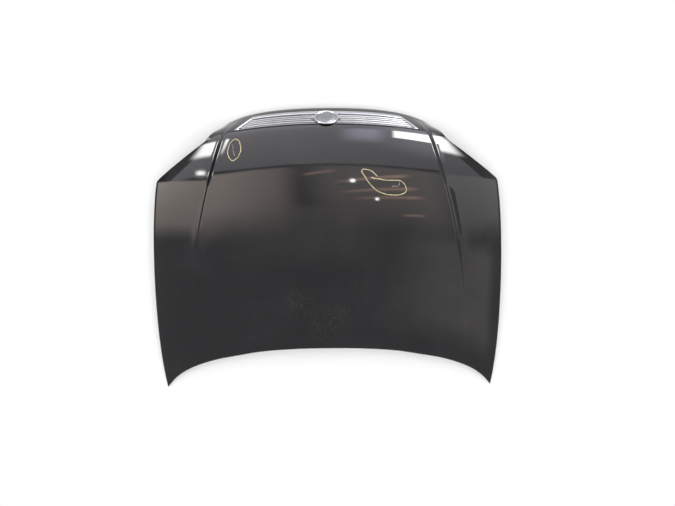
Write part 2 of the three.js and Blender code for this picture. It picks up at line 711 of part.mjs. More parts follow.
// Plate bolted under the front beam, with the wire bow that the car's latch grips.
function striker() {
  const middle = STRIKER_X - (STRIKER_BOLT_PITCH / 2 - 6);
  const plate = box(STRIKER_PLATE_WIDTH, STRIKER_PLATE_LENGTH, STRIKER_SHEET,
    middle + 18, 0, (STRIKER_TOP + STRIKER_BOTTOM) / 2);
  const holes = [-1, 1].map((side) => (
    post(BOLT_DIAMETER + BOLT_HOLE_CLEARANCE, 8, side * STRIKER_BOLT_PITCH / 2, 0, STRIKER_BOTTOM)));
  const half = BOW_WIDTH / 2;
  const low = STRIKER_BOTTOM - BOW_DROP;
  const bow = tube([
    new THREE.Vector3(-half, 0, STRIKER_BOTTOM + 1.5),
    new THREE.Vector3(-half, 0, low + 16),
    new THREE.Vector3(-half + 5, 0, low + 5),
    new THREE.Vector3(0, 0, low),
    new THREE.Vector3(half - 5, 0, low + 5),
    new THREE.Vector3(half, 0, low + 16),
    new THREE.Vector3(half, 0, STRIKER_BOTTOM + 1.5),
  ], BOW_WIRE, 18, 8);
  return joined(cut(plate, holes), bow).applyMatrix4(latchSeat());
}

const PIN_Z = STRIKER_BOTTOM - CATCH_PIN_DROP;

// Plate outline in the plane across the pin, made into a sheet of a thickness along x.
function sidePlate(outline, holes, sheet, x) {
  const corners = outline.map(([y, z]) => new THREE.Vector2(y, z));
  if (THREE.ShapeUtils.isClockWise(corners)) corners.reverse();
  const shape = new THREE.Shape(corners);
  holes.forEach(([y, z, diameter]) => {
    const hole = new THREE.Path();
    hole.absarc(y, z, diameter / 2, 0, 2 * Math.PI, true);
    shape.holes.push(hole);
  });
  const plate = new THREE.ExtrudeGeometry(shape, { depth: sheet, bevelEnabled: false,
    curveSegments: 10 });
  const basis = new THREE.Matrix4().makeBasis(
    new THREE.Vector3(0, 1, 0), new THREE.Vector3(0, 0, 1), new THREE.Vector3(1, 0, 0));
  return plate.applyMatrix4(basis).translate(x - sheet / 2, 0, 0);
}

function catchBracket() {
  const top = STRIKER_BOTTOM - PLAIN_GAP;
  const earX = CATCH_EAR_SPACE / 2 + CATCH_EAR_SHEET / 2;
  const base = box(CATCH_EAR_SPACE + 2 * CATCH_EAR_SHEET, CATCH_BASE_LENGTH, CATCH_EAR_SHEET, 0, 0,
    top - CATCH_EAR_SHEET / 2);
  const end = CATCH_BASE_LENGTH / 2;
  const outline = [[-end, top - 1], [-9, PIN_Z - 4], [-5, PIN_Z - 8], [5, PIN_Z - 8],
    [9, PIN_Z - 4], [end, top - 1]];
  const ears = [-1, 1].map((side) => (
    sidePlate(outline, [[0, PIN_Z, CATCH_PIN + 2 * CATCH_PIN_GAP]], CATCH_EAR_SHEET, side * earX)));
  return joined(base, ...ears).translate(CATCH_X, 0, 0).applyMatrix4(latchSeat());
}

function catchRivet() {
  const half = CATCH_EAR_SPACE / 2 + CATCH_EAR_SHEET + PLAIN_GAP;
  const pin = post(CATCH_PIN, 2 * half + 1, 0, 0, 0, 12).rotateY(Math.PI / 2);
  const heads = [-1, 1].map((side) => (
    post(11, 2, 0, 0, 0, 16).rotateY(Math.PI / 2).translate(side * (half + 1), 0, 0)));
  return joined(pin, ...heads).translate(CATCH_X, 0, PIN_Z).applyMatrix4(latchSeat());
}

// Hook that holds the closed panel if the main latch lets go, with a tab for the fingers.
function safetyHook() {
  const low = -CATCH_LENGTH;
  const outline = [[7, 6], [10, 0], [CATCH_REACH - 4, -7], [CATCH_REACH, -10], [CATCH_REACH - 4, -14],
    [9, -8], [6, -12], [5, low + 12], [6, low + 4], [2, low], [-20, low], [-25, low + 5],
    [-24, low + 18], [-20, low + 18], [-18, low + 9], [-6, low + 8], [-6, -8], [-8, 0], [-7, 6]];
  const moved = outline.map(([y, z]) => [y, z + PIN_Z]);
  const plate = sidePlate(moved, [[0, PIN_Z, CATCH_PIN + 2 * CATCH_PIN_GAP]], CATCH_SHEET, 0);
  const tab = box(22, 12, CATCH_SHEET, 0, CATCH_REACH + 1, PIN_Z - 11);
  return joined(plate, tab).translate(CATCH_X, 0, 0).applyMatrix4(latchSeat());
}

// Torsion spring coiled round the rivet beside the hook, one leg up on the bracket.
function catchSpring() {
  const points = [];
  const turns = 3;
  const steps = 12 * turns;
  for (let step = 0; step <= steps; step += 1) {
    const angle = 2 * Math.PI * step / 12;
    points.push(new THREE.Vector3(2.6 + 3.2 * step / steps, 4.4 * Math.sin(angle),
      4.4 * Math.cos(angle)));
  }
  points.unshift(new THREE.Vector3(2.6, -9, 6.5));
  points.push(new THREE.Vector3(5.8, 9, 6.5));
  return tube(points, 0.9, 44, 5).translate(CATCH_X, 0, PIN_Z).applyMatrix4(latchSeat());
}

// Point in the grille opening, moved in from its edge by different amounts on each side.
function openingPoint(side, share, insets, depth) {
  const top = GRILLE_TOP_AT + insets.top;
  const bottom = GRILLE_BOTTOM_AT - insets.bottom;
  const length = top + share * (bottom - top);
  const edge = grilleSide(length) - insets.side;
  const line = Math.abs(side) === GRILLE_COLUMN ? edge : Math.min(edge, columnsAt(length)[Math.abs(side)]);
  return under(Math.sign(side) * line, length, depth);
}

// Points round the opening, as seen from the front: column and share of its height.
function openingLoop() {
  const across = Array.from({ length: 2 * GRILLE_COLUMN + 1 }, (_, k) => k - GRILLE_COLUMN);
  const lower = across.map((side) => [side, 1]);
  const right = [0.75, 0.25].map((share) => [GRILLE_COLUMN, share]);
  const upper = across.map((side) => [-side, 0]);
  const left = [0.25, 0.75].map((share) => [-GRILLE_COLUMN, share]);
  return [...lower, ...right, ...upper, ...left];
}

function grilleSurround() {
  const even = (inset) => ({ top: inset, bottom: inset, side: inset });
  const bars = { top: SURROUND_BAR_TOP, bottom: SURROUND_BAR_BOTTOM, side: SURROUND_BAR_SIDE };
  const front = -SURROUND_GAP - SURROUND_FACE;
  const section = [
    [even(-SURROUND_OVERLAP), -SURROUND_GAP],
    [even(-SURROUND_OVERLAP), -SURROUND_GAP - 1.2],
    [even(1), front],
    [bars, front + 1],
    [bars, SURROUND_DEPTH],
    [even(SURROUND_WALL_INSET), SURROUND_DEPTH],
    [even(SURROUND_WALL_INSET), -SURROUND_GAP],
  ];
  const loop = openingLoop();
  const points = section.flatMap(([insets, depth]) => (
    loop.flatMap(([side, share]) => openingPoint(side, share, insets, depth).toArray())));
  const faces = [];
  section.forEach((_, ring) => {
    const next = (ring + 1) % section.length;
    loop.forEach((__, k) => {
      const after = (k + 1) % loop.length;
      const a = ring * loop.length + k;
      const b = ring * loop.length + after;
      const c = next * loop.length + after;
      const d = next * loop.length + k;
      faces.push(a, c, b, a, d, c);
    });
  });
  const geometry = new THREE.BufferGeometry();
  geometry.setAttribute('position', new THREE.Float32BufferAttribute(points, 3));
  geometry.setIndex(faces);
  return geometry;
}

function grilleInsert() {
  const insets = {
    top: SURROUND_BAR_TOP + INSERT_GAP,
    bottom: SURROUND_BAR_BOTTOM + INSERT_GAP,
    side: SURROUND_BAR_SIDE + INSERT_GAP,
  };
  const wave = [RIB_VALLEY, RIB_FRONT, RIB_FRONT];
  const shares = [0, 0.3, 0.8];
  const rows = wave.length * RIBS;
  const columns = 2 * GRILLE_COLUMN;
  const share = (row) => (Math.floor(row / wave.length) + shares[row % wave.length]) / RIBS;
  const point = (row, column, depth) => (
    openingPoint(column - GRILLE_COLUMN, share(row), insets, depth));
  return gridSheet(rows, columns, () => true,
    (row, column) => point(row, column, wave[row % wave.length]),
    (row, column) => point(row, column, INSERT_BACK), () => []);
}

// Spring leaf across the back of the surround and the opening's flange, with its screw head.
function grilleClip(side, atTop) {
  const inward = atTop ? 1 : -1;
  const length = (atTop ? GRILLE_TOP_AT : GRILLE_BOTTOM_AT) + inward * 2;
  const frame = seat(side * columnsAt(length)[4], length, SURROUND_DEPTH);
  const leaf = box(CLIP_WIDTH, CLIP_LENGTH, CLIP_SHEET, 0, -inward, -CLIP_GAP - CLIP_SHEET / 2);
  const head = post(6, 2, 0, inward, -CLIP_GAP - CLIP_SHEET - 0.8);
  return joined(leaf, head).applyMatrix4(frame);
}

function medallionSeat() {
  return seat(0, MEDALLION_AT, -MEDALLION_STANDOFF);
}

function medallionBase() {
  const outer = MEDALLION_DIAMETER / 2;
  const inner = outer - MEDALLION_RIM;
  const boss = MEDALLION_BOSS / 2;
  const back = -MEDALLION_STANDOFF - RIB_FRONT + MEDALLION_SEAT_GAP;
  const ring = turned([[0, back], [boss, back], [boss, 0], [outer - 1.5, 0], [outer, 1.5],
    [outer - 1.2, MEDALLION_THICKNESS - 1.4], [outer - 4.5, MEDALLION_THICKNESS],
    [inner + 1, MEDALLION_THICKNESS - 0.8], [inner, 2], [0, 2]], 32);
  const tabs = [-1, 1].map((side) => box(14, 16, 3, side * (outer + 4), 0, 1.5));
  return joined(ring, ...tabs).applyMatrix4(medallionSeat());
}

function medallionDisc() {
  const radius = MEDALLION_DIAMETER / 2 - MEDALLION_RIM - PLAIN_GAP;
  const low = 2 + PLAIN_GAP;
  const profile = [[0, low], [radius, low], [radius, low + 1]];
  for (let step = 1; step <= 3; step += 1) {
    const share = step / 3;
    profile.push([radius * (1 - share), low + 1 + (DISC_DOME - 1) * (1 - (1 - share) ** 2)]);
  }
  return turned(profile, 28).applyMatrix4(medallionSeat());
}

function rubberBuffer(frame) {
  const low = -FRAME_SHEET - SEAT_GAP;
  const stem = BUFFER_STEM / 2;
  const wide = BUFFER_DIAMETER / 2;
  return turned([[0, low - BUFFER_HEIGHT], [wide - 3, low - BUFFER_HEIGHT], [wide, low - 3],
    [wide, low], [stem, low], [stem, SEAT_GAP], [stem + 2.5, SEAT_GAP], [stem - 1, 6], [0, 6]],
  14).applyMatrix4(frame);
}

function propRodGrommet() {
  const bore = GROMMET_HOLE / 2 - 3;
  const body = GROMMET_HOLE / 2;
  const low = -FRAME_SHEET - SEAT_GAP;
  const profile = [[bore, low - 3], [body + 4, low - 2.4], [body + 4, low], [body, low],
    [body, SEAT_GAP], [body + 2, SEAT_GAP], [body, 4], [bore, 4], [bore, low - 3]];
  return turned(profile, 18).applyMatrix4(seat(GROMMET_X, GROMMET_AT, BEAM_DEPTH));
}

// Dab of sealer between a window flange and the skin.
function masticDab(side, length) {
  const x = side * columnsAt(length)[4];
  const depth = (SKIN_SHEET + WINDOW_FLANGE_DEPTH) / 2;
  const height = WINDOW_FLANGE_DEPTH - SKIN_SHEET - 2 * PLAIN_GAP - 0.2;
  const dab = new THREE.CylinderGeometry(5, 5, height, 10).rotateX(Math.PI / 2).scale(1.8, 0.9, 1);
  return dab.applyMatrix4(seat(x, length, depth));
}

const group = new THREE.Group();

function add(name, geometry, finish) {
  const plain = geometry.index ? geometry.toNonIndexed() : geometry.clone();
  plain.deleteAttribute('uv');
  plain.computeVertexNormals();
  const mesh = new THREE.Mesh(plain, new THREE.MeshStandardMaterial(finish));
  mesh.name = name;
  group.add(mesh);
}

add('outer_skin', outerSkin(), blackPaint);
for (const [name, ...field] of frameFields()) {
  const solid = innerFrame(...field);
  add(`inner_frame_${name}`, solid, primer);
  if (name.endsWith('left')) {
    add(`inner_frame_${name.replace('left', 'right')}`, mirrored(solid), primer);
  }
}
for (const [name, side] of [['left', -1], ['right', 1]]) {
  add(`hinge_reinforcement_${name}`, hingeReinforcement(side), primer);
  add(`hinge_nut_${name}_rear`, hingeWeldNut(side, -1), zincSteel);
  add(`hinge_nut_${name}_front`, hingeWeldNut(side, 1), zincSteel);
  add(`striker_bolt_${name}`, strikerBolt(side), zincSteel);
  add(`striker_nut_${name}`, strikerNut(side), zincSteel);
}
add('striker_reinforcement', strikerReinforcement(), primer);
add('striker', striker(), zincSteel);
add('catch_bracket', catchBracket(), zincSteel);
add('catch_rivet', catchRivet(), zincSteel);
add('catch_spring', catchSpring(), zincSteel);
add('safety_hook', safetyHook(), zincSteel);
add('grille_surround', grilleSurround(), chrome);
add('grille_insert', grilleInsert(), silverPlastic);
for (const [name, side] of [['left', -1], ['middle', 0], ['right', 1]]) {
  add(`grille_clip_top_${name}`, grilleClip(side, true), zincSteel);
  add(`grille_clip_bottom_${name}`, grilleClip(side, false), zincSteel);
}
add('medallion_base', medallionBase(), chrome);
add('medallion_disc', medallionDisc(), silverPlastic);
bufferSeats().forEach((frame, k) => {
  add(`rubber_buffer_${['rear_left', 'rear_right', 'front_left', 'front_right'][k]}`,
    rubberBuffer(frame), blackRubber);
});
add('prop_rod_grommet', propRodGrommet(), blackRubber);
windowStarts.forEach((start, k) => {
  for (const [name, side] of [['left', -1], ['right', 1]]) {
    add(`mastic_${name}_${2 * k + 1}`, masticDab(side, start - WINDOW_FLANGE / 2), mastic);
    add(`mastic_${name}_${2 * k + 2}`,
      masticDab(side, start + WINDOW_LENGTH + WINDOW_FLANGE / 2), mastic);
  }
});

// Tip the panel about its cross axis until its front and rear halves touch the floor together.
const corner = new THREE.Vector3();
const restPoints = [];
group.children.forEach((mesh) => {
  const spots = mesh.geometry.attributes.position;
  for (let k = 0; k < spots.count; k += 1) {
    corner.fromBufferAttribute(spots, k);
    restPoints.push([corner.y, corner.z]);
  }
});
const halfway = centreLine(SKIN_END).x / 2;

function lowest(isFront, tilt) {
  let best = [0, Infinity];
  for (const [y, z] of restPoints) {
    if ((y > halfway) !== isFront) continue;
    const height = y * Math.sin(tilt) + z * Math.cos(tilt);
    if (height < best[1]) best = [y * Math.cos(tilt) - z * Math.sin(tilt), height];
  }
  return best;
}

let restTilt = 0;
for (let round = 0; round < 6; round += 1) {
  const front = lowest(true, restTilt);
  const rear = lowest(false, restTilt);
  restTilt += Math.atan2(rear[1] - front[1], front[0] - rear[0]);
}
group.rotation.x = restTilt;
group.updateMatrixWorld(true);
const bounds = new THREE.Box3().setFromObject(group, true);
const middle = bounds.getCenter(new THREE.Vector3());
group.position.set(-middle.x, -middle.y, -bounds.min.z);
group.updateMatrixWorld(true);

export default group;
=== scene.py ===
"""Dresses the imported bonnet: fine pressed skin, grille, medallion, marks, finishes and a studio."""
import math

import bmesh
import bpy
from mathutils import Matrix, Vector, noise


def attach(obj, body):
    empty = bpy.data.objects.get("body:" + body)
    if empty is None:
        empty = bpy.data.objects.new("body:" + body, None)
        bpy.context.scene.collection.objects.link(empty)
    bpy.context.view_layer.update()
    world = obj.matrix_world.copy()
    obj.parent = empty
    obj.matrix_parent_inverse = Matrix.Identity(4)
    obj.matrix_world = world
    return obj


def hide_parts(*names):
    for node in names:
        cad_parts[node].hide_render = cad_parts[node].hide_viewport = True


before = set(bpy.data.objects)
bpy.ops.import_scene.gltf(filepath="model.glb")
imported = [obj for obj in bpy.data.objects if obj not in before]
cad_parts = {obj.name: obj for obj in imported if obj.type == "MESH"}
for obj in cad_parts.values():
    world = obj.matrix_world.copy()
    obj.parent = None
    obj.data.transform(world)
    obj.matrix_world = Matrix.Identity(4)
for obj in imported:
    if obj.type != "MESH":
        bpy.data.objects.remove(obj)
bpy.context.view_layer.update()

bl_info = {
    "name": "Bonnet dressing",
    "version": (1, 0, 0),
    "blender": (4, 5, 0),
    "location": "View3D > Sidebar > Bonnet",
    "description": "Makes the visible pieces and finishes of a car bonnet on its packed frame",
    "category": "Object",
}

MM = 0.001

# The panel's own frame is in millimetres: x right, y to the nose, z up, zero at the rear middle.
# It is tipped by this angle to lie on its lip and rear tips, and its box is centred on the floor.
REST_TILT = math.radians(7.1276058550368475)
REST_SHIFT = (0.0, -397.0704997545873, 100.55093434438571)

# Centre line of the skin: length of each arc, slope at its start and at its end.
ARCS = ((560, 4.5, -3.5), (290, -3.5, -13), (60, -13, -54), (112, -54, -60), (34, -60, -95))
SKIN_END = 1056
GRILLE_TOP = 905
GRILLE_BOTTOM = 998
MEDALLION_AT = 945

# Form of the skin in millimetres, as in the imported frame: sweeps of the rear edge and the nose
# with the widths that they are given at, crown, wings, and the crease with its rounding.
REAR_SWEEP, REAR_TIP_SWEEP, REAR_SWEEP_WIDTH = 140, 62, 693
NOSE_SWEEP, LIP_SWEEP, NOSE_SWEEP_WIDTH, NOSE_SWEEP_AT = 24, 15, 360, 760
CROWN_DROP, CROWN_WIDTH = 30, 520
WING_DROP, WING_WIDTH = 28, 200
CREASE_HALF_WIDTH, CREASE_PULL_IN, CREASE_START_AT, CREASE_BEND_AT = 560, 150, 150, 870
CREASE_NOSE_SLOPE = 0.35
CREASE_BAND, CREASE_ROUND = 12, 10.5
CREASE_STEP_REAR, CREASE_STEP_NOSE, CREASE_STEP_LIP = 1.5, 8, 1
GRILLE_TO_CREASE, GRILLE_SIDE_SLOPE = 38, 0.68

# Outline: the bowed side, the lamp cut and the nose side, and how far their corners are rounded.
SIDE_HALF_WIDTH, SIDE_NARROWING, SIDE_WIDEST_AT = 714, 25, 400
LAMP_CUT_HALF_WIDTH, LAMP_CUT_AT, LAMP_CUT_SLOPE = 690, 768, 1.98
NOSE_HALF_WIDTH, NOSE_AT, NOSE_SIDE_SLOPE = 476, 875, 0.48
SIDE_ROUNDING, NOSE_ROUNDING = 9, 13.5


def ease(value, low, high):
    share = min(1.0, max(0.0, (value - low) / (high - low)))
    return share * share * (3 - 2 * share)


def centre_line(length):
    """Point of the centre line, forward and up, at a length from the rear edge."""
    forward = up = 0.0
    left = length
    for arc, start, end in ARCS:
        first = math.radians(start)
        bend = math.radians(end - start) / arc
        run = left if arc == ARCS[-1][0] else min(left, arc)
        last = first + bend * run
        forward += (math.sin(last) - math.sin(first)) / bend
        up -= (math.cos(last) - math.cos(first)) / bend
        left -= run
        if left <= 0:
            break
    return forward, up


def crease_at(length):
    along = max(0.0, min(length, CREASE_BEND_AT) - CREASE_START_AT)
    along /= CREASE_BEND_AT - CREASE_START_AT
    nose = CREASE_NOSE_SLOPE * max(0.0, length - CREASE_BEND_AT)
    return CREASE_HALF_WIDTH - CREASE_PULL_IN * along ** 1.7 - nose


def crease_step(length):
    rise = (CREASE_STEP_NOSE - CREASE_STEP_REAR) * ease(length, 0, 820)
    fall = (CREASE_STEP_NOSE - CREASE_STEP_LIP) * ease(length, 860, SKIN_END)
    return CREASE_STEP_REAR + rise - fall


def half_width(length):
    side = SIDE_HALF_WIDTH - SIDE_NARROWING * ((length - SIDE_WIDEST_AT) / SIDE_WIDEST_AT) ** 2
    lamp = LAMP_CUT_HALF_WIDTH - LAMP_CUT_SLOPE * (length - LAMP_CUT_AT)
    nose = NOSE_HALF_WIDTH - NOSE_SIDE_SLOPE * (length - NOSE_AT)
    cut = (lamp + nose + math.hypot(lamp - nose, NOSE_ROUNDING)) / 2
    return (side + cut - math.hypot(side - cut, SIDE_ROUNDING)) / 2


def grille_side(length):
    if length <= GRILLE_TOP:
        return crease_at(length) - GRILLE_TO_CREASE
    corner = crease_at(GRILLE_TOP) - GRILLE_TO_CREASE
    return corner - GRILLE_SIDE_SLOPE * (length - GRILLE_TOP)


def surface(x, length):
    """Point of the outer surface at x and at a length along the centre line."""
    forward, up = centre_line(length)
    wide = abs(x)
    share = wide / REAR_SWEEP_WIDTH
    turn = ease(length, 0, NOSE_SWEEP_AT)
    back = (REAR_SWEEP * share ** 2.4 + REAR_TIP_SWEEP * share ** 12) * (1 - turn)
    back += NOSE_SWEEP * (wide / NOSE_SWEEP_WIDTH) ** 2 * turn
    back += LIP_SWEEP * (wide / NOSE_SWEEP_WIDTH) ** 5 * ease(length, GRILLE_TOP, SKIN_END)
    past = wide - crease_at(length)
    drop = CROWN_DROP * (wide / CROWN_WIDTH) ** 2
    drop += WING_DROP * (max(0.0, past) / WING_WIDTH) ** 1.8
    drop += crease_step(length) * ease(past, -CREASE_ROUND, CREASE_ROUND)
    return Vector((x, forward - back, up - drop))


def upward(x, length):
    across = surface(x + 40, length) - surface(x - 40, length)
    along = surface(x, min(length + 4, SKIN_END)) - surface(x, max(length - 4, 0))
    return across.cross(along).normalized()


def under(x, length, depth):
    """Point at a depth under the outer surface; a negative depth stands proud of it."""
    return surface(x, length) - depth * upward(x, length)


TO_ROW = Matrix.Scale(MM, 4) @ Matrix.Translation(REST_SHIFT) @ Matrix.Rotation(REST_TILT, 4, "X")


def place(x, length, depth=0.0):
    """The same point in the row's frame, in metres."""
    return TO_ROW @ under(x, length, depth)


def seat(x, length, depth):
    """Frame on the panel in millimetres: x to the right, y forward along it, z out of it."""
    up = upward(x, length)
    forward = Vector((0, 1, 0))
    forward = (forward - up * forward.dot(up)).normalized()
    right = forward.cross(up)
    axes = Matrix((right, forward, up)).transposed().to_4x4()
    axes.translation = under(x, length, depth)
    return TO_ROW @ axes


def linear(colour):
    """Linear values of an sRGB hex colour, with an alpha of 1."""
    parts = [int(colour[start:start + 2], 16) / 255 for start in (1, 3, 5)]
    return [part / 12.92 if part <= 0.04045 else ((part + 0.055) / 1.055) ** 2.4
            for part in parts] + [1.0]


def add_node(tree, kind, inputs=None, **settings):
    """One shader node with its settings, and its sockets set or linked."""
    new = tree.nodes.new(kind)
    for name, value in settings.items():
        setattr(new, name, value)
    for socket, value in (inputs or {}).items():
        if isinstance(value, bpy.types.NodeSocket):
            tree.links.new(value, new.inputs[socket])
        else:
            new.inputs[socket].default_value = value
    return new


def start_material(name):
    material = bpy.data.materials.new(name)
    material.use_nodes = True
    material.node_tree.nodes.clear()
    spot = add_node(material.node_tree, "ShaderNodeTexCoord").outputs["Object"]
    return material, material.node_tree, spot


def finish_material(tree, shader):
    add_node(tree, "ShaderNodeOutputMaterial", {"Surface": shader.outputs[0]})


def ramp(tree, value, low, high, to_low=0.0, to_high=1.0):
    """A value mapped smoothly from one range to another."""
    return add_node(tree, "ShaderNodeMapRange", {
        "Value": value, "From Min": low, "From Max": high, "To Min": to_low, "To Max": to_high,
    }, interpolation_type="SMOOTHSTEP").outputs["Result"]


def noise_at(tree, spot, scale, detail=2.0, rough=0.5):
    return add_node(tree, "ShaderNodeTexNoise", {
        "Vector": spot, "Scale": scale, "Detail": detail, "Roughness": rough,
    }).outputs["Fac"]


def maths(tree, operation, first, second):
    return add_node(tree, "ShaderNodeMath", {0: first, 1: second},
                    operation=operation).outputs["Value"]


def blend_colour(tree, share, first, second):
    return add_node(tree, "ShaderNodeMix", {0: share, 6: first, 7: second},
                    data_type="RGBA").outputs[2]


def relief(tree, height, depth, strength=1.0, onto=None):
    inputs = {"Height": height, "Distance": depth, "Strength": strength}
    if onto is not None:
        inputs["Normal"] = onto
    return add_node(tree, "ShaderNodeBump", inputs).outputs["Normal"]


def black_enamel():
    """Black two-coat car enamel, sprayed and baked, now dusty and dull in places."""
    # A deep blue-black that mirrors the room, with faint orange peel, dust and dried water spots.
    material, tree, spot = start_material("black_car_enamel")
    size = bpy.context.scene.bonnet_finish
    peel = noise_at(tree, spot, 420.0, 2.0)
    wave = noise_at(tree, spot, 9.0, 1.0)
    # Dust specks are about 1.5 mm here and finer on the real panel, so that they show.
    specks = ramp(tree, noise_at(tree, spot, 520.0, 1.0), 0.68, 0.80)
    patches = ramp(tree, noise_at(tree, spot, 5.0, 4.0, 0.6), 0.42, 0.72)
    dust = maths(tree, "MULTIPLY", specks, patches)
    film = ramp(tree, noise_at(tree, spot, 14.0, 6.0, 0.65), 0.45, 0.85, 0.0, 0.35)
    stains = None
    for x, length, radius, share in WATER_STAINS:
        middle = place(x, length)
        away = add_node(tree, "ShaderNodeVectorMath", {0: spot, 1: middle},
                        operation="DISTANCE").outputs["Value"]
        wobble = add_node(tree, "ShaderNodeMath", {
            0: noise_at(tree, spot, 60.0, 3.0), 1: 0.6 * radius * MM, 2: -0.3 * radius * MM,
        }, operation="MULTIPLY_ADD").outputs["Value"]
        reach = maths(tree, "ADD", away, wobble)
        disc = ramp(tree, reach, radius * MM, 0.72 * radius * MM, 0.0, share)
        stains = disc if stains is None else maths(tree, "MAXIMUM", stains, disc)
    grain = ramp(tree, noise_at(tree, spot, 170.0, 4.0, 0.75), 0.54, 0.70)
    stains = maths(tree, "MULTIPLY", stains, grain)
    dirt = maths(tree, "MAXIMUM", maths(tree, "MULTIPLY", dust, 0.5), stains)
    tint = blend_colour(tree, patches, linear(size.enamel), linear(size.enamel_warm))
    colour = blend_colour(tree, dirt, tint, linear(size.dust))
    rough = maths(tree, "ADD", maths(tree, "MULTIPLY", film, 0.16), size.enamel_roughness)
    rough = maths(tree, "ADD", rough, maths(tree, "MULTIPLY", dirt, 0.4))
    bumps = relief(tree, peel, 0.000006, 0.5)
    bumps = relief(tree, wave, 0.0004, 0.25, bumps)
    shader = add_node(tree, "ShaderNodeBsdfPrincipled", {
        "Base Color": colour, "Roughness": rough, "IOR": 1.5, "Normal": bumps,
    })
    finish_material(tree, shader)
    return material


def primed_steel():
    """Deep-drawn sheet steel, dip-primed and thinly oversprayed black, as inside every bonnet."""
    # Satin black-grey with a thin, uneven spray that lets the darker primer through.
    material, tree, spot = start_material("primed_sheet_steel")
    cloud = ramp(tree, noise_at(tree, spot, 11.0, 5.0, 0.6), 0.35, 0.7)
    fine = noise_at(tree, spot, 380.0, 2.0)
    colour = blend_colour(tree, cloud, linear("#1c1c20"), linear("#2a2a2d"))
    rough = ramp(tree, noise_at(tree, spot, 30.0, 4.0), 0.3, 0.7, 0.34, 0.52)
    shader = add_node(tree, "ShaderNodeBsdfPrincipled", {
        "Base Color": colour, "Roughness": rough, "IOR": 1.5,
        "Normal": relief(tree, fine, 0.00003, 0.5),
    })
    finish_material(tree, shader)
    return material


def bright_chrome():
    """Chrome-plated ABS trim: a mirror skin with a trace of haze and fine dirt."""
    material, tree, spot = start_material("chromed_abs")
    haze = noise_at(tree, spot, 55.0, 5.0, 0.65)
    grit = ramp(tree, noise_at(tree, spot, 700.0, 1.0), 0.66, 0.78, 0.0, 0.35)
    colour = blend_colour(tree, grit, linear("#a9acb0"), linear("#84837f"))
    rough = ramp(tree, haze, 0.35, 0.75, 0.07, 0.2)
    shader = add_node(tree, "ShaderNodeBsdfPrincipled", {
        "Base Color": colour, "Metallic": 1.0, "Roughness": rough,
        "Normal": relief(tree, noise_at(tree, spot, 260.0), 0.00001, 0.4),
    })
    finish_material(tree, shader)
    return material


def silver_abs(name, light, dark):
    """Moulded ABS sprayed in satin silver: fine flake, with painted shade darkening the valleys."""
    material, tree, spot = start_material(name)
    flake = noise_at(tree, spot, 900.0, 1.0)
    cloud = ramp(tree, noise_at(tree, spot, 25.0, 4.0), 0.35, 0.7)
    colour = blend_colour(tree, cloud, linear(light), linear(dark))
    colour = blend_colour(tree, ramp(tree, flake, 0.6, 0.75, 0.0, 0.25), colour,
                          linear("#a2a3a4"))
    # The groove attribute is 1 in a valley between ribs, where the silver is darkened as painted
    # shade and made rougher.
    groove = add_node(tree, "ShaderNodeAttribute", attribute_name="groove").outputs["Fac"]
    # Painted shade: the valleys are darkened towards near-black #2c2c2e in place of the shade that
    # falls between the ribs.
    valley_shade = ramp(tree, groove, 0.15, 0.6, 0.0, 0.9)
    colour = blend_colour(tree, valley_shade, colour, linear("#2c2c2e"))
    rough = ramp(tree, valley_shade, 0.0, 1.0, 0.36, 0.6)
    shader = add_node(tree, "ShaderNodeBsdfPrincipled", {
        "Base Color": colour, "Metallic": 0.65, "Roughness": rough,
        "Normal": relief(tree, flake, 0.00002, 0.4),
    })
    finish_material(tree, shader)
    return material


def zinc_steel():
    """Mild steel, zinc plated and passivated: pale grey-yellow, slightly mottled."""
    material, tree, spot = start_material("zinc_plated_steel")
    mottle = ramp(tree, noise_at(tree, spot, 90.0, 5.0, 0.6), 0.35, 0.7)
    colour = blend_colour(tree, mottle, linear("#b9b49f"), linear("#9d9c96"))
    rough = ramp(tree, mottle, 0.0, 1.0, 0.28, 0.45)
    shader = add_node(tree, "ShaderNodeBsdfPrincipled", {
        "Base Color": colour, "Metallic": 1.0, "Roughness": rough,
        "Normal": relief(tree, noise_at(tree, spot, 600.0), 0.00003, 0.5),
    })
    finish_material(tree, shader)
    return material


def black_rubber():
    """Moulded EPDM rubber: matt charcoal with a dry bloom."""
    material, tree, spot = start_material("epdm_rubber")
    bloom = ramp(tree, noise_at(tree, spot, 70.0, 4.0), 0.4, 0.75, 0.0, 0.5)
    colour = blend_colour(tree, bloom, linear("#161617"), linear("#2e2d2c"))
    shader = add_node(tree, "ShaderNodeBsdfPrincipled", {
        "Base Color": colour, "IOR": 1.52,
        "Roughness": ramp(tree, bloom, 0.0, 0.5, 0.62, 0.85),
        "Normal": relief(tree, noise_at(tree, spot, 450.0), 0.00008, 0.6),
    })
    finish_material(tree, shader)
    return material


def anti_flutter_mastic():
    """Expanding mastic between frame and skin: dull grey-brown, porous."""
    material, tree, spot = start_material("anti_flutter_mastic")
    pores = noise_at(tree, spot, 320.0, 3.0)
    colour = blend_colour(tree, pores, linear("#3a3936"), linear("#575450"))
    shader = add_node(tree, "ShaderNodeBsdfPrincipled", {
        "Base Color": colour, "Roughness": ramp(tree, pores, 0.3, 0.7, 0.8, 0.95),
        "Normal": relief(tree, pores, 0.0003, 0.7),
    })
    finish_material(tree, shader)
    return material


def wax_crayon():
    """Yellow wax crayon on paint: waxy, broken where the stroke skipped."""
    material, tree, spot = start_material("yellow_wax_crayon")
    skips = ramp(tree, noise_at(tree, spot, 340.0, 3.0, 0.7), 0.42, 0.6)
    colour = blend_colour(tree, skips, linear("#a79d74"), linear("#ddd3a6"))
    shader = add_node(tree, "ShaderNodeBsdfPrincipled", {
        "Base Color": colour, "Roughness": ramp(tree, skips, 0.0, 1.0, 0.45, 0.7),
        "IOR": 1.45, "Normal": relief(tree, skips, 0.00005, 0.5),
    })
    finish_material(tree, shader)
    return material


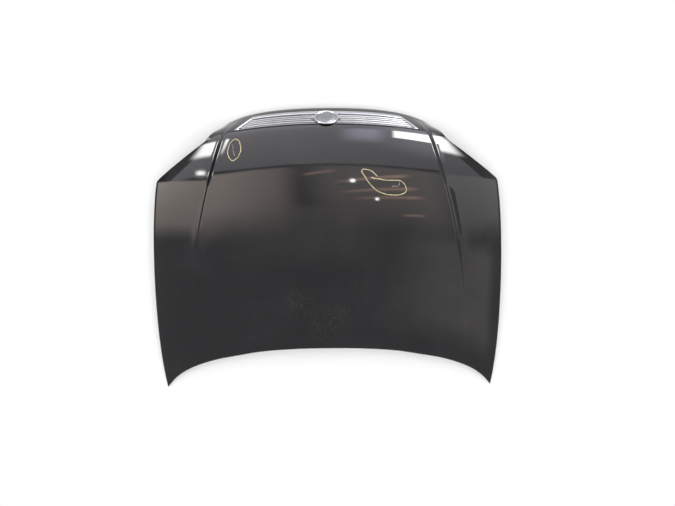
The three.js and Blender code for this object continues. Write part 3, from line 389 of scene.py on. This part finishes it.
def bared_paint():
    """Scratch through the clear coat: a pale, dull line of broken enamel."""
    material, tree, spot = start_material("scratched_enamel")
    chips = noise_at(tree, spot, 400.0, 3.0, 0.7)
    colour = blend_colour(tree, ramp(tree, chips, 0.4, 0.65), linear("#6d6a6c"),
                          linear("#a9a7a5"))
    shader = add_node(tree, "ShaderNodeBsdfPrincipled", {
        "Base Color": colour, "Roughness": ramp(tree, chips, 0.3, 0.7, 0.5, 0.8), "IOR": 1.5,
    })
    finish_material(tree, shader)
    return material


# Dried water and dust on the rear half: x, length, radius in millimetres and how dense it is.
WATER_STAINS = (
    (63, 164, 24, 0.20), (-28, 79, 60, 0.16), (-135, 210, 48, 0.12), (15, 115, 95, 0.08),
    (-437, 109, 8, 0.5), (120, 250, 60, 0.05), (-60, 180, 60, 0.08),
)

# Hand-drawn crayon rings and short scratches, as x and length along the panel.
RING_LEFT = ((-348, 864), (-336, 853), (-330, 830), (-331, 815), (-337, 800), (-345, 790),
             (-363, 782), (-375, 794), (-382, 813), (-380, 830), (-374, 846), (-364, 859),
             (-352, 865), (-344, 862))
RING_RIGHT = ((196, 699), (180, 714), (165, 722), (149, 725), (139, 723), (134, 716),
              (140, 708), (147, 697), (155, 684), (166, 670), (178, 658), (190, 648),
              (203, 641), (220, 636), (236, 633), (267, 634), (285, 638), (300, 645),
              (308, 657), (303, 675),
              (295, 684), (286, 690), (276, 691), (257, 690), (236, 688), (215, 689),
              (197, 691), (182, 692), (172, 696))
SCRATCHES = (
    ((-363, 846), (-361, 830), (-359, 815), (-354, 799)),
    ((250, 666), (262, 668), (276, 668)),
    ((281, 686), (280, 677), (280, 670)),
)


def linked(bm, name, material):
    """Turns a bmesh in metres into an object at the origin with one material."""
    mesh = bpy.data.meshes.new(name)
    bm.to_mesh(mesh)
    bm.free()
    mesh.materials.append(material)
    thing = bpy.data.objects.new(name, mesh)
    bpy.context.scene.collection.objects.link(thing)
    return thing


def to_object(bm, name, material):
    """Turns a bmesh in metres into a smooth-shaded piece that rides on the panel."""
    piece = linked(bm, name, material)
    for face in piece.data.polygons:
        face.use_smooth = True
    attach(piece, "panel")
    return piece


def modifier(piece, kind, **settings):
    new = piece.modifiers.new(kind.title(), kind)
    for name, value in settings.items():
        setattr(new, name, value)
    return new


def between(count, *stops):
    """Stops with a number of even steps between each pair: count is one number per gap."""
    values = [stops[0]]
    for steps, low, high in zip(count, stops, stops[1:]):
        values += [low + (high - low) * (step + 1) / steps for step in range(steps)]
    return values


# Fine grid of the skin, half of its columns as shares between named lines, and its rows.
HALF_CELLS = (50, 8, 10, 24)
HALF = sum(HALF_CELLS)
ROW_CELLS = (95, 35, 6, 16, 9, 6)
ROWS = between(ROW_CELLS, 0, 746, 885, GRILLE_TOP, GRILLE_BOTTOM, 1042, SKIN_END)
GRILLE_ROWS = (sum(ROW_CELLS[:3]), sum(ROW_CELLS[:4]))
SIDE_TRIM = 0.4


def column_x(column, length):
    half = abs(column - HALF)
    crease = crease_at(length)
    lines = (0, grille_side(length), crease - CREASE_BAND, crease + CREASE_BAND,
             half_width(length) - SIDE_TRIM)
    for cells, low, high in zip(HALF_CELLS, lines, lines[1:]):
        if half <= cells:
            x = low + (high - low) * half / cells
            break
        half -= cells
    return math.copysign(x, column - HALF) if column != HALF else 0.0


def skin_point(row, column, inset, depth):
    length = ROWS[row]
    if row == 0:
        length += inset
    if row == len(ROWS) - 1:
        length -= inset
    x = column_x(column, length)
    if column in (0, 2 * HALF):
        x -= math.copysign(inset, x)
    return place(x, length, depth)


def mapped_grid(columns, rows, point, layers=()):
    """A bmesh grid whose vertices are moved to point(row, column), with their row and column."""
    bm = bmesh.new()
    for layer in layers:
        bm.verts.layers.float.new(layer)
    bmesh.ops.create_grid(bm, x_segments=columns, y_segments=rows, size=1)
    where = {}
    for vertex in bm.verts:
        column = round((vertex.co.x + 1) / 2 * columns)
        row = round((vertex.co.y + 1) / 2 * rows)
        vertex.co = point(row, column)
        where[vertex] = (row, column)
    return bm, where


def roll_edge(bm, edges, where, rings):
    """Extrudes a run of edges through ring functions; each gives a point for a row and column."""
    for ring in rings:
        old = {tuple(vertex.co): where[vertex] for edge in edges for vertex in edge.verts}
        made = bmesh.ops.extrude_edge_only(bm, edges=edges)["geom"]
        edges = [item for item in made if isinstance(item, bmesh.types.BMEdge)
                 and len(item.link_faces) == 1]
        for vertex in [item for item in made if isinstance(item, bmesh.types.BMVert)]:
            where[vertex] = old[tuple(vertex.co)]
            vertex.co = ring(*where[vertex])
    return edges


def make_outer_skin(size):
    """The enamelled skin: a fine sheet with a rolled hem and a flanged grille opening."""
    sink = size.skin_sink / MM
    bm, where = mapped_grid(2 * HALF, len(ROWS) - 1, lambda row, column: skin_point(
        row, column, size.hem_round / MM, sink))
    first, last = GRILLE_ROWS
    inside = [face for face in bm.faces if all(
        first <= where[vertex][0] <= last and abs(where[vertex][1] - HALF) <= HALF_CELLS[0]
        for vertex in face.verts)]
    bmesh.ops.delete(bm, geom=inside, context="FACES")
    free = [edge for edge in bm.edges if len(edge.link_faces) == 1]
    rim = [edge for edge in free if all(
        where[vertex][0] in (0, len(ROWS) - 1) or where[vertex][1] in (0, 2 * HALF)
        for vertex in edge.verts)]
    outer = set(rim)
    opening = [edge for edge in free if edge not in outer]
    full = size.hem_round / MM
    near = 0.29 * full
    bottom = 2 * full
    hem = [(near, sink + near), (0, full), (near, bottom - near), (full, bottom), (9, bottom)]
    roll_edge(bm, rim, where, [
        lambda row, column, inset=inset, depth=depth: skin_point(row, column, inset, depth)
        for inset, depth in hem])
    roll_edge(bm, opening, where, [
        lambda row, column: place(column_x(column, ROWS[row]), ROWS[row], 10)])
    bmesh.ops.recalc_face_normals(bm, faces=bm.faces)
    if sum(face.normal.z * face.calc_area() for face in bm.faces) < 0:
        bmesh.ops.reverse_faces(bm, faces=bm.faces)
    skin = to_object(bm, "enamelled_skin", black_enamel())
    modifier(skin, "SOLIDIFY", thickness=0.0007, offset=-1)
    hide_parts("outer_skin")
    return skin


def opening_point(across, share, insets, depth):
    """Point in the grille opening; across runs from -1 to 1 and share down its height."""
    top = GRILLE_TOP + insets[0]
    bottom = GRILLE_BOTTOM - insets[1]
    length = top + share * (bottom - top)
    return place(across * (grille_side(length) - insets[2]), length, depth)


def make_grille_surround(size):
    """Chromed frame round the opening, swept through a rounded section and closed on itself."""
    wide, high = 110, 14
    loop = [(-1 + 2 * k / wide, 1) for k in range(wide)]
    loop += [(1, 1 - k / high) for k in range(high)]
    loop += [(1 - 2 * k / wide, 0) for k in range(wide)]
    loop += [(-1, k / high) for k in range(high)]
    bars = (1.4, 19, 10)
    section = [((0.2, -3, -3), -0.5), ((0.2, -3, -3), -1.2), ((0.3, -2.6, -2.6), -1.9),
               ((0.4, -1.6, -1.6), -2.5), ((0.5, 0, 0), -2.9)]
    for step in range(1, 8):
        share = step / 8
        insets = tuple(0.6 + (bar - 0.6) * share for bar in bars)
        section.append((insets, -3.0 - size.bar_crown / MM * math.sin(math.pi * share)))
    section += [(tuple(bar - 0.2 for bar in bars), -2.3), (bars, -1.4), (bars, 3), (bars, 10),
                ((0.6, 0.8, 0.8), 10), ((0.6, 0.8, 0.8), -0.5)]
    bm = bmesh.new()
    start = [bm.verts.new(opening_point(*spot, *section[0])) for spot in loop]
    edges = [bm.edges.new((start[k], start[(k + 1) % len(loop)])) for k in range(len(loop))]
    first = list(edges)
    where = {vertex: loop[k] for k, vertex in enumerate(start)}
    rings = [lambda across, share, part=part: opening_point(across, share, *part)
             for part in section[1:]]
    last = roll_edge(bm, edges, where, rings)
    bmesh.ops.bridge_loops(bm, edges=first + last)
    bmesh.ops.recalc_face_normals(bm, faces=bm.faces)
    surround = to_object(bm, "grille_frame", bright_chrome())
    surround.data.set_sharp_from_angle(angle=math.radians(50))
    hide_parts("grille_surround")
    return surround


def make_grille_insert(size):
    """Silver grille of five wide ribs, one moulding with rounded noses and valleys darkened by
    painted shade.
    """
    wide = 132
    profile = ((0.0, 1.0), (0.08, 1.0), (0.16, 0.75), (0.24, 0.3), (0.34, 0.06), (0.46, 0.0),
               (0.6, 0.0), (0.7, 0.06), (0.78, 0.3), (0.86, 0.75), (0.93, 1.0))
    ribs = 5
    depths = size.rib_depth / MM
    shares = [(rib + share) / ribs for rib in range(ribs) for share, _ in profile] + [1.0]
    heights = [0.5 + depths * level for _ in range(ribs) for _, level in profile]
    heights.append(0.5 + depths)
    insets = (1.9, 19.5, 10.5)
    bm, where = mapped_grid(wide, len(shares) - 1, lambda row, column: opening_point(
        -1 + 2 * column / wide, shares[row], insets, heights[row]), layers=["groove"])
    groove = bm.verts.layers.float["groove"]
    # Groove is 1 in the valleys, where the silver finish darkens the colour as painted shade.
    for vertex in bm.verts:
        vertex[groove] = (heights[where[vertex][0]] - 0.5) / depths
    free = [edge for edge in bm.edges if len(edge.link_faces) == 1]
    roll_edge(bm, free, where, [lambda row, column: opening_point(
        -1 + 2 * column / wide, shares[row], insets, 10)])
    bmesh.ops.recalc_face_normals(bm, faces=bm.faces)
    silver = silver_abs("silver_painted_abs", "#919293", "#88898a")
    insert = to_object(bm, "ribbed_grille", silver)
    insert.data.set_sharp_from_angle(angle=math.radians(40))
    modifier(insert, "SOLIDIFY", thickness=0.0018, offset=-1)
    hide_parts("grille_insert")
    return insert


def turned(profile, steps=96):
    """Profile of radius and height in millimetres spun full circle about z."""
    bm = bmesh.new()
    verts = [bm.verts.new((radius, 0, height)) for radius, height in profile]
    for first, second in zip(verts, verts[1:]):
        bm.edges.new((first, second))
    bmesh.ops.spin(bm, geom=bm.verts[:] + bm.edges[:], cent=(0, 0, 0), axis=(0, 0, 1),
                   angle=math.tau, steps=steps, use_merge=True)
    bmesh.ops.remove_doubles(bm, verts=bm.verts, dist=1e-4)
    bmesh.ops.recalc_face_normals(bm, faces=bm.faces)
    return bm


def make_medallion(size):
    """Plain round medallion: a rolled chrome rim with two lugs and a domed silver disc."""
    pose = seat(0, MEDALLION_AT, -3.2)
    rim = [(0, -3.2), (22, -3.2), (22, 0), (47.5, 0), (48.6, 0.5), (49, 1.5), (48.8, 2.6),
           (48.0, 3.8), (46.6, 4.7), (44.8, 5.0), (42.9, 4.7), (41.5, 3.9), (40.6, 2.9),
           (40, 2), (0, 2)]
    bm = turned(rim)
    for side in (-1, 1):
        lug = bmesh.ops.create_cube(bm, size=1)["verts"]
        bmesh.ops.scale(bm, vec=(13, 15, 3), verts=lug)
        bmesh.ops.translate(bm, vec=(side * 53, 0, 1.5), verts=lug)
        edges = list({edge for vertex in lug for edge in vertex.link_edges})
        bmesh.ops.bevel(bm, geom=edges, offset=1.1, segments=3, profile=0.5,
                        affect="EDGES", material=-1)
    bmesh.ops.transform(bm, matrix=pose, verts=bm.verts)
    ring = to_object(bm, "medallion_rim", bright_chrome())
    ring.data.set_sharp_from_angle(angle=math.radians(45))
    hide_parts("medallion_base")
    low = 2.3
    disc = [(0, low), (39.6, low), (39.6, low + 0.8), (39.2, low + 1.1), (36.5, low + 1.4),
            (36.1, low + 1.1), (35.4, low + 1.1), (35.0, low + 1.6)]
    for step in range(1, 9):
        share = step / 8
        disc.append((35 * (1 - share), low + 1.6 + 2.4 * (1 - (1 - share) ** 2)))
    bm = turned(disc)
    bmesh.ops.transform(bm, matrix=pose, verts=bm.verts)
    satin = silver_abs("satin_silver_disc", "#7d7f83", "#707276")
    dome = to_object(bm, "medallion_dome", satin)
    dome.data.set_sharp_from_angle(angle=math.radians(45))
    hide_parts("medallion_disc")
    return ring, dome


def smooth_path(points, steps):
    """Points along an even curve through x and length pairs."""
    path = []
    count = len(points)
    for k in range(count - 1):
        p0, p1, p2, p3 = (points[max(0, min(count - 1, k + step))] for step in (-1, 0, 1, 2))
        for step in range(steps):
            t = step / steps
            path.append(tuple(0.5 * (2 * b + (c - a) * t + (2 * a - 5 * b + 4 * c - d) * t * t
                                     + (3 * b - a - 3 * c + d) * t ** 3)
                              for a, b, c, d in zip(p0, p1, p2, p3)))
    path.append(tuple(points[-1]))
    return path


def make_stroke(name, points, width, proud, material, seed, sink):
    """A drawn line on the skin: a thin ribbon that follows it, uneven like a hand's stroke."""
    path = smooth_path(points, 8)

    def point(row, column):
        x, length = path[row]
        before, after = path[max(0, row - 1)], path[min(len(path) - 1, row + 1)]
        along = Vector((after[0] - before[0], after[1] - before[1])).normalized()
        wobble = noise.noise(Vector((row * 0.35, seed, 0))) * 0.5
        thin = width * (0.5 + 0.28 * noise.noise(Vector((row * 0.9, seed, 7))))
        if row in (0, len(path) - 1):
            thin *= 0.3
        offset = wobble + (column - 1) * thin
        lift = proud if column == 1 else 0.02
        return place(x - along.y * offset, length + along.x * offset, sink - lift)

    bm, _ = mapped_grid(2, len(path) - 1, point)
    bmesh.ops.recalc_face_normals(bm, faces=bm.faces)
    if sum(face.normal.z for face in bm.faces) < 0:
        bmesh.ops.reverse_faces(bm, faces=bm.faces)
    stroke = to_object(bm, name, material)
    modifier(stroke, "SOLIDIFY", thickness=0.00005, offset=-1)
    return stroke


class BonnetSizes(bpy.types.PropertyGroup):
    """Sizes of the fine pieces."""
    hem_round: bpy.props.FloatProperty(
        name="Hem radius", description="Radius of the rolled outer edge of the skin",
        default=0.00165, unit="LENGTH")
    skin_sink: bpy.props.FloatProperty(
        name="Skin depth", description="How far the fine skin lies under the frame's surface",
        default=0.00045, unit="LENGTH")
    bar_crown: bpy.props.FloatProperty(
        name="Bar crown", description="Height of the crown on the grille surround's bars",
        default=0.0009, unit="LENGTH")
    rib_depth: bpy.props.FloatProperty(
        name="Rib depth", description="Depth of the valleys between the grille's ribs",
        default=0.006, unit="LENGTH")
    stroke_width: bpy.props.FloatProperty(
        name="Crayon width", description="Width of the crayon line",
        default=0.0030, unit="LENGTH")


class BonnetFinish(bpy.types.PropertyGroup):
    """Colours of the enamel and dust."""
    enamel: bpy.props.StringProperty(
        name="Enamel", description="Hex colour of the enamel", default="#0f0f13")
    enamel_warm: bpy.props.StringProperty(
        name="Aged enamel", description="Hex colour of the enamel where it is dulled",
        default="#17161a")
    dust: bpy.props.StringProperty(
        name="Dust", description="Hex colour of dust and dried water", default="#a9a59e")
    enamel_roughness: bpy.props.FloatProperty(
        name="Enamel roughness", description="Roughness of the clean enamel",
        default=0.035, min=0.0, max=1.0, subtype="FACTOR")


class BonnetStudio(bpy.types.PropertyGroup):
    """Light and floor of the studio."""
    room_light: bpy.props.FloatProperty(
        name="Room light", description="Strength of the even light all round", default=0.62)
    overhead_power: bpy.props.FloatProperty(
        name="Overhead light", description="Power of the soft lamp over the panel",
        default=135.0, unit="POWER")
    floor_size: bpy.props.FloatProperty(
        name="Floor size", description="Side of the square floor", default=14.0, unit="LENGTH")


class BONNET_OT_skin(bpy.types.Operator):
    """Makes the enamelled outer skin"""
    bl_idname = "bonnet.skin"
    bl_label = "Outer skin"

    def execute(self, context):
        make_outer_skin(context.scene.bonnet_sizes)
        return {"FINISHED"}


class BONNET_OT_grille(bpy.types.Operator):
    """Makes the grille's chromed surround and ribbed insert"""
    bl_idname = "bonnet.grille"
    bl_label = "Grille"

    def execute(self, context):
        make_grille_surround(context.scene.bonnet_sizes)
        make_grille_insert(context.scene.bonnet_sizes)
        return {"FINISHED"}


class BONNET_OT_medallion(bpy.types.Operator):
    """Makes the plain medallion"""
    bl_idname = "bonnet.medallion"
    bl_label = "Medallion"

    def execute(self, context):
        make_medallion(context.scene.bonnet_sizes)
        return {"FINISHED"}


class BONNET_OT_marks(bpy.types.Operator):
    """Draws the crayon rings and the scratches inside them"""
    bl_idname = "bonnet.marks"
    bl_label = "Crayon and scratches"

    def execute(self, context):
        sizes = context.scene.bonnet_sizes
        sink = sizes.skin_sink / MM
        crayon = wax_crayon()
        bare = bared_paint()
        width = sizes.stroke_width / MM
        make_stroke("crayon_ring_left", RING_LEFT, width, 0.14, crayon, 1.3, sink)
        make_stroke("crayon_ring_right", RING_RIGHT, width, 0.14, crayon, 4.1, sink)
        for k, points in enumerate(SCRATCHES):
            make_stroke(f"scratch_{k + 1}", points, 1.8, 0.06, bare, 9.7 + k, sink)
        return {"FINISHED"}


class BONNET_OT_fixings(bpy.types.Operator):
    """Finishes the pressed frame and the fixings under the panel"""
    bl_idname = "bonnet.fixings"
    bl_label = "Frame and fixings"

    def execute(self, context):
        primed, zinc = primed_steel(), zinc_steel()
        finishes = {
            "inner_frame": primed, "hinge_reinforcement": primed, "striker_reinforcement": primed,
            "rubber_buffer": black_rubber(), "mastic": anti_flutter_mastic(),
        }
        finishes["prop_rod_grommet"] = finishes["rubber_buffer"]
        for name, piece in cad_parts.items():
            if piece.hide_render:
                continue
            finish = next((finishes[start] for start in finishes if name.startswith(start)), zinc)
            piece.data.materials.clear()
            piece.data.materials.append(finish)
            if not name.startswith("mastic") and not name.startswith("inner_frame"):
                modifier(piece, "WELD", merge_threshold=0.00002)
                modifier(piece, "BEVEL", width=0.0003, segments=2, limit_method="ANGLE",
                         angle_limit=math.radians(40))
        return {"FINISHED"}


def mirrored(x, length, distance, reach):
    """Where a ray from the camera ends after the panel at x and length has mirrored it."""
    across = surface(x + reach, length) - surface(x - reach, length)
    along = surface(x, length + 4) - surface(x, length - 4)
    normal = across.cross(along).normalized()
    point = surface(x, length)
    seen = (Vector(CAMERA_AT) - point).normalized()
    ray = 2 * normal.dot(seen) * normal - seen
    return TO_ROW @ (point + ray * distance)


def spread(values, u, v):
    """Value between four corners, in the order of a walk round them."""
    a, b, c, d = values
    return (a * (1 - u) + b * u) * (1 - v) + (d * (1 - u) + c * u) * v


CARD_CELLS = 12


def card(name, point, strengths, colour, edges):
    """A glowing sheet of the studio that only reflections show, with soft edges."""
    bm, where = mapped_grid(CARD_CELLS, CARD_CELLS, lambda row, column: point(
        column / CARD_CELLS, row / CARD_CELLS), layers=["glow"])
    glow = bm.verts.layers.float["glow"]
    for vertex in bm.verts:
        row, column = where[vertex]
        vertex[glow] = spread(strengths, column / CARD_CELLS, row / CARD_CELLS)
    shape = bm.loops.layers.uv.new("card")
    for face in bm.faces:
        for loop in face.loops:
            row, column = where[loop.vert]
            loop[shape].uv = (column / CARD_CELLS, row / CARD_CELLS)
    material = bpy.data.materials.new(name)
    material.use_nodes = True
    tree = material.node_tree
    tree.nodes.clear()
    power = add_node(tree, "ShaderNodeAttribute", attribute_name="glow").outputs["Fac"]
    place_on = add_node(tree, "ShaderNodeUVMap", uv_map="card").outputs["UV"]
    parts = add_node(tree, "ShaderNodeSeparateXYZ", {"Vector": place_on})
    opacity = None
    for axis, (start, end) in zip(("X", "Y"), (edges[:2], edges[2:])):
        value = parts.outputs[axis]
        rise = ramp(tree, value, 0.0, max(start, 0.001))
        fall = ramp(tree, value, 1.0, 1.0 - max(end, 0.001))
        both = maths(tree, "MULTIPLY", rise, fall)
        opacity = both if opacity is None else maths(tree, "MULTIPLY", opacity, both)
    light = add_node(tree, "ShaderNodeEmission", {"Color": linear(colour), "Strength": power})
    clear = add_node(tree, "ShaderNodeBsdfTransparent")
    finish_material(tree, add_node(tree, "ShaderNodeMixShader", {
        0: opacity, 1: clear.outputs[0], 2: light.outputs[0]}))
    sheet = linked(bm, name, material)
    sheet.visible_camera = False
    sheet.visible_diffuse = False
    sheet.visible_shadow = False


def reflector(name, corners, strengths, colour, distance, edges, reach):
    """A card over the panel, placed so that its mirror image fills these corners."""
    across, along = zip(*corners)
    card(name, lambda u, v: mirrored(spread(across, u, v), spread(along, u, v), distance, reach),
         strengths, colour, edges)


def flag(name, corners, strengths, colour, edges):
    """A flat card with its corners in metres."""
    card(name, lambda u, v: spread([Vector(corner) for corner in corners], u, v) / MM,
         strengths, colour, edges)


class BONNET_OT_studio(bpy.types.Operator):
    """Sets the floor, the soft light and the camera"""
    bl_idname = "bonnet.studio"
    bl_label = "Studio"

    def execute(self, context):
        scene = context.scene
        studio = scene.bonnet_studio
        bm = bmesh.new()
        bmesh.ops.create_grid(bm, x_segments=1, y_segments=1, size=studio.floor_size / 2)
        material, tree, spot = start_material("white_studio_floor")
        tone = blend_colour(tree, noise_at(tree, spot, 3.0), linear("#f2f2f2"),
                            linear("#f6f6f6"))
        finish_material(tree, add_node(tree, "ShaderNodeBsdfPrincipled", {
            "Base Color": tone, "Roughness": 0.9, "Specular IOR Level": 0.2}))
        linked(bm, "studio_floor", material)
        world = bpy.data.worlds.new("even_room")
        world.use_nodes = True
        world.node_tree.nodes.clear()
        sky = add_node(world.node_tree, "ShaderNodeBackground", {
            "Color": linear("#ffffff"), "Strength": studio.room_light})
        add_node(world.node_tree, "ShaderNodeOutputWorld", {"Surface": sky.outputs[0]})
        scene.world = world
        overhead = bpy.data.lights.new("overhead_soft", "AREA")
        overhead.shape = "RECTANGLE"
        overhead.size = overhead.size_y = 5
        overhead.energy = studio.overhead_power
        lamp = bpy.data.objects.new("overhead_soft", overhead)
        lamp.location = (0, 0, 4)
        lamp.visible_glossy = False
        scene.collection.objects.link(lamp)
        for reflection in REFLECTORS:
            reflector(*reflection)
        for sheet in FLAGS:
            flag(*sheet)
        camera = bpy.data.objects.new("camera", bpy.data.cameras.new("camera"))
        scene.collection.objects.link(camera)
        camera.data.sensor_fit = "HORIZONTAL"
        camera.data.sensor_width = 36
        camera.data.lens = CAMERA_LENS
        camera.matrix_world = camera_pose()
        scene.camera = camera
        scene.view_settings.view_transform = "Standard"
        return {"FINISHED"}


# Reflectors: name, the four panel points (x, length) that mirror the corners, their strengths,
# colour, distance in millimetres, soft share of each edge (left, right, near, far), slope reach.
REFLECTORS = (
    ("card_wall", ((-530, 450), (-60, 450), (-80, 740), (-470, 742)), (2.7, 1.1, 1.6, 4.2),
     "#fff1e8", 2600, (0.05, 0.3, 0.6, 0.04), 40),
    ("card_wall_right", ((-100, 470), (500, 440), (440, 742), (-150, 742)), (0.9, 1.4, 2.0, 1.4),
     "#fff5f0", 2650, (0.3, 0.1, 0.6, 0.04), 40),
    ("card_left_wing", ((-706, 540), (-530, 500), (-472, 726), (-694, 764)), (1.9, 2.4, 3.6, 4.3),
     "#fff1e8", 2500, (0.04, 0.0, 0.35, 0.03), 3),
    ("card_right_wing", ((530, 470), (706, 520), (694, 764), (468, 742)), (1.2, 1.2, 2.2, 2.2),
     "#ffffff", 2500, (0.0, 0.04, 0.5, 0.03), 3),
    ("card_right_rear", ((150, 60), (690, 40), (690, 540), (180, 520)), (1.1, 1.2, 1.3, 1.1),
     "#fffaf4", 2900, (0.6, 0.1, 0.3, 0.2), 40),
    ("card_front", ((-640, 742), (640, 742), (380, 900), (-380, 900)), (2.1, 1.6, 2.4, 3.3),
     "#f8f4f9", 2600, (0.0, 0.0, 0.02, 0.0), 40),
    ("card_front_right", ((100, 800), (405, 770), (390, 898), (110, 898)), (2.0, 3.0, 4.6, 3.0),
     "#f7f4ff", 2450, (0.6, 0.0, 0.5, 0.0), 40),
    ("card_beam_one", ((-110, 695), (56, 713), (56, 728), (-110, 709)), (3.4, 3.4, 3.4, 3.4),
     "#ffd8c8", 2400, (0.3, 0.3, 0.45, 0.45), 6),
    ("card_beam_two", ((4, 662), (338, 705), (338, 725), (4, 677)), (3.4, 5.6, 5.6, 3.4),
     "#ffd8c8", 2400, (0.3, 0.2, 0.45, 0.45), 6),
    ("card_beam_three", ((20, 624), (374, 658), (374, 678), (20, 639)), (2.8, 5.0, 5.0, 2.8),
     "#ffd8c8", 2400, (0.3, 0.2, 0.45, 0.45), 6),
    ("card_beam_four", ((68, 601), (396, 626), (396, 643), (68, 616)), (2.2, 5.0, 5.0, 2.2),
     "#ffd8c8", 2400, (0.3, 0.2, 0.45, 0.45), 6),
    ("card_beam_five", ((280, 551), (392, 560), (392, 573), (280, 564)), (3.4, 3.8, 3.8, 3.4),
     "#ffdccb", 2400, (0.3, 0.3, 0.45, 0.45), 6),
    ("card_haze", ((20, 815), (260, 820), (255, 892), (20, 890)), (4.5, 5.5, 8.0, 5.5),
     "#efeaff", 2350, (0.45, 0.4, 0.5, 0.25), 12),
    ("card_window", ((249, 853), (408, 849), (396, 886), (250, 887)), (26, 30, 30, 24),
     "#ffffff", 2300, (0.12, 0.04, 0.1, 0.2), 6),
    ("card_window_wing", ((442, 818), (572, 812), (474, 886), (430, 878)), (28, 14, 20, 28),
     "#ffffff", 2300, (0.08, 0.5, 0.25, 0.2), 6),
    ("card_window_left", ((-562, 808), (-446, 806), (-426, 874), (-492, 872)), (16, 28, 30, 20),
     "#ffffff", 2300, (0.45, 0.08, 0.3, 0.2), 6),
    ("card_left_spot", ((-523, 774), (-466, 764), (-466, 736), (-523, 746)), (26, 26, 26, 26),
     "#ffffff", 2300, (0.45, 0.35, 0.45, 0.45), 6),
    ("card_left_strip", ((-420, 805), (-405, 803), (-369, 872), (-389, 876)), (7, 5, 30, 30),
     "#ffffff", 2300, (0.35, 0.35, 0.3, 0.15), 4),
    ("card_middle", ((-448, 330), (300, 300), (290, 600), (-440, 600)), (0.75, 0.85, 1.1, 1.1),
     "#f4efec", 2750, (0.25, 0.3, 0.4, 0.1), 40),
    ("card_lamp_one", ((84, 671), (116, 671), (116, 690), (84, 690)), (42, 42, 42, 42),
     "#ffffff", 2300, (0.5, 0.5, 0.5, 0.5), 6),
    ("card_lamp_two", ((182, 605), (205, 605), (205, 621), (182, 621)), (36, 36, 36, 36),
     "#ffffff", 2300, (0.5, 0.5, 0.5, 0.5), 6),
)

# Flags: name, corners in metres, strengths, colour, soft share of each edge.
FLAGS = (
    ("flag_floor_front", ((-1.6, 0.6, 0.002), (1.6, 0.6, 0.002), (1.6, 4, 0.002), (-1.6, 4, 0.002)),
     (0.3, 0.3, 0.9, 0.9), "#ffffff", (0, 0, 0, 0)),
    ("flag_floor_left", ((-4, -2, 0.002), (-0.72, -2, 0.002), (-0.72, 4, 0.003), (-4, 4, 0.003)),
     (0.34, 0.34, 0.34, 0.34), "#ffffff", (0, 0, 0, 0)),
    ("flag_floor_right", ((0.72, -2, 0.002), (4, -2, 0.002), (4, 4, 0.003), (0.72, 4, 0.003)),
     (0.34, 0.34, 0.34, 0.34), "#ffffff", (0, 0, 0, 0)),
    ("flag_left_front", ((-2.6, 4, 0.0), (-2.6, 1.1, 0.0), (-2.6, 1.1, 1.3), (-2.6, 4, 1.3)),
     (6.5, 0.2, 0.2, 6.5), "#ffffff", (0, 0, 0, 0.35)),
    ("flag_left_rear", ((-2.6, 1.1, 0.0), (-2.6, -1.2, 0.0), (-2.6, -1.2, 1.0), (-2.6, 1.1, 1.3)),
     (0.2, 0.2, 0.2, 0.2), "#ffffff", (0, 0.2, 0, 0.35)),
    ("flag_right", ((2.6, -1.2, 0.0), (2.6, 4, 0.0), (2.6, 4, 1.3), (2.6, -1.2, 1.3)),
     (0.2, 1.6, 1.6, 0.2), "#ffffff", (0.2, 0, 0, 0.35)),
)

# The camera, fitted to the panel's outline: place in the panel's frame, turns in degrees, lens.
CAMERA_AT = (32.89, 775, 1950)
CAMERA_TILT, CAMERA_YAW, CAMERA_ROLL = 11, 0.188, -0.509
CAMERA_LENS = 26.99


def camera_pose():
    """The camera over the nose, looking down at the panel and slightly back."""
    tilt, yaw, roll = (math.radians(turn) for turn in (CAMERA_TILT, CAMERA_YAW, CAMERA_ROLL))
    forward = Vector((0, -math.sin(tilt), -math.cos(tilt)))
    up = Vector((0, math.cos(tilt), -math.sin(tilt)))
    right = forward.cross(up)
    forward, right = (forward * math.cos(yaw) + right * math.sin(yaw),
                      right * math.cos(yaw) - forward * math.sin(yaw))
    right, up = (right * math.cos(roll) + up * math.sin(roll),
                 up * math.cos(roll) - right * math.sin(roll))
    turn = Matrix.Rotation(REST_TILT, 3, "X")
    axes = Matrix((turn @ right, turn @ up, turn @ -forward)).transposed().to_4x4()
    axes.translation = TO_ROW @ Vector(CAMERA_AT)
    return axes


class BONNET_PT_panel(bpy.types.Panel):
    """Lists the bonnet's pieces and settings"""
    bl_label = "Bonnet"
    bl_space_type = "VIEW_3D"
    bl_region_type = "UI"
    bl_category = "Bonnet"

    def draw(self, context):
        for group in (context.scene.bonnet_sizes, context.scene.bonnet_finish,
                      context.scene.bonnet_studio):
            for name in group.bl_rna.properties.keys():
                if name not in ("rna_type", "name"):
                    self.layout.prop(group, name)
        for operator in OPERATORS:
            self.layout.operator(operator.bl_idname)


OPERATORS = (BONNET_OT_skin, BONNET_OT_grille, BONNET_OT_medallion, BONNET_OT_marks,
             BONNET_OT_fixings, BONNET_OT_studio)
CLASSES = (BonnetSizes, BonnetFinish, BonnetStudio) + OPERATORS + (BONNET_PT_panel,)


def register():
    for item in CLASSES:
        bpy.utils.register_class(item)
    bpy.types.Scene.bonnet_sizes = bpy.props.PointerProperty(type=BonnetSizes)
    bpy.types.Scene.bonnet_finish = bpy.props.PointerProperty(type=BonnetFinish)
    bpy.types.Scene.bonnet_studio = bpy.props.PointerProperty(type=BonnetStudio)


def unregister():
    del bpy.types.Scene.bonnet_studio
    del bpy.types.Scene.bonnet_finish
    del bpy.types.Scene.bonnet_sizes
    for item in reversed(CLASSES):
        bpy.utils.unregister_class(item)


def main():
    register()
    bpy.ops.bonnet.skin()
    bpy.ops.bonnet.grille()
    bpy.ops.bonnet.medallion()
    bpy.ops.bonnet.marks()
    bpy.ops.bonnet.fixings()
    bpy.ops.bonnet.studio()


if __name__ == "__main__":
    main()
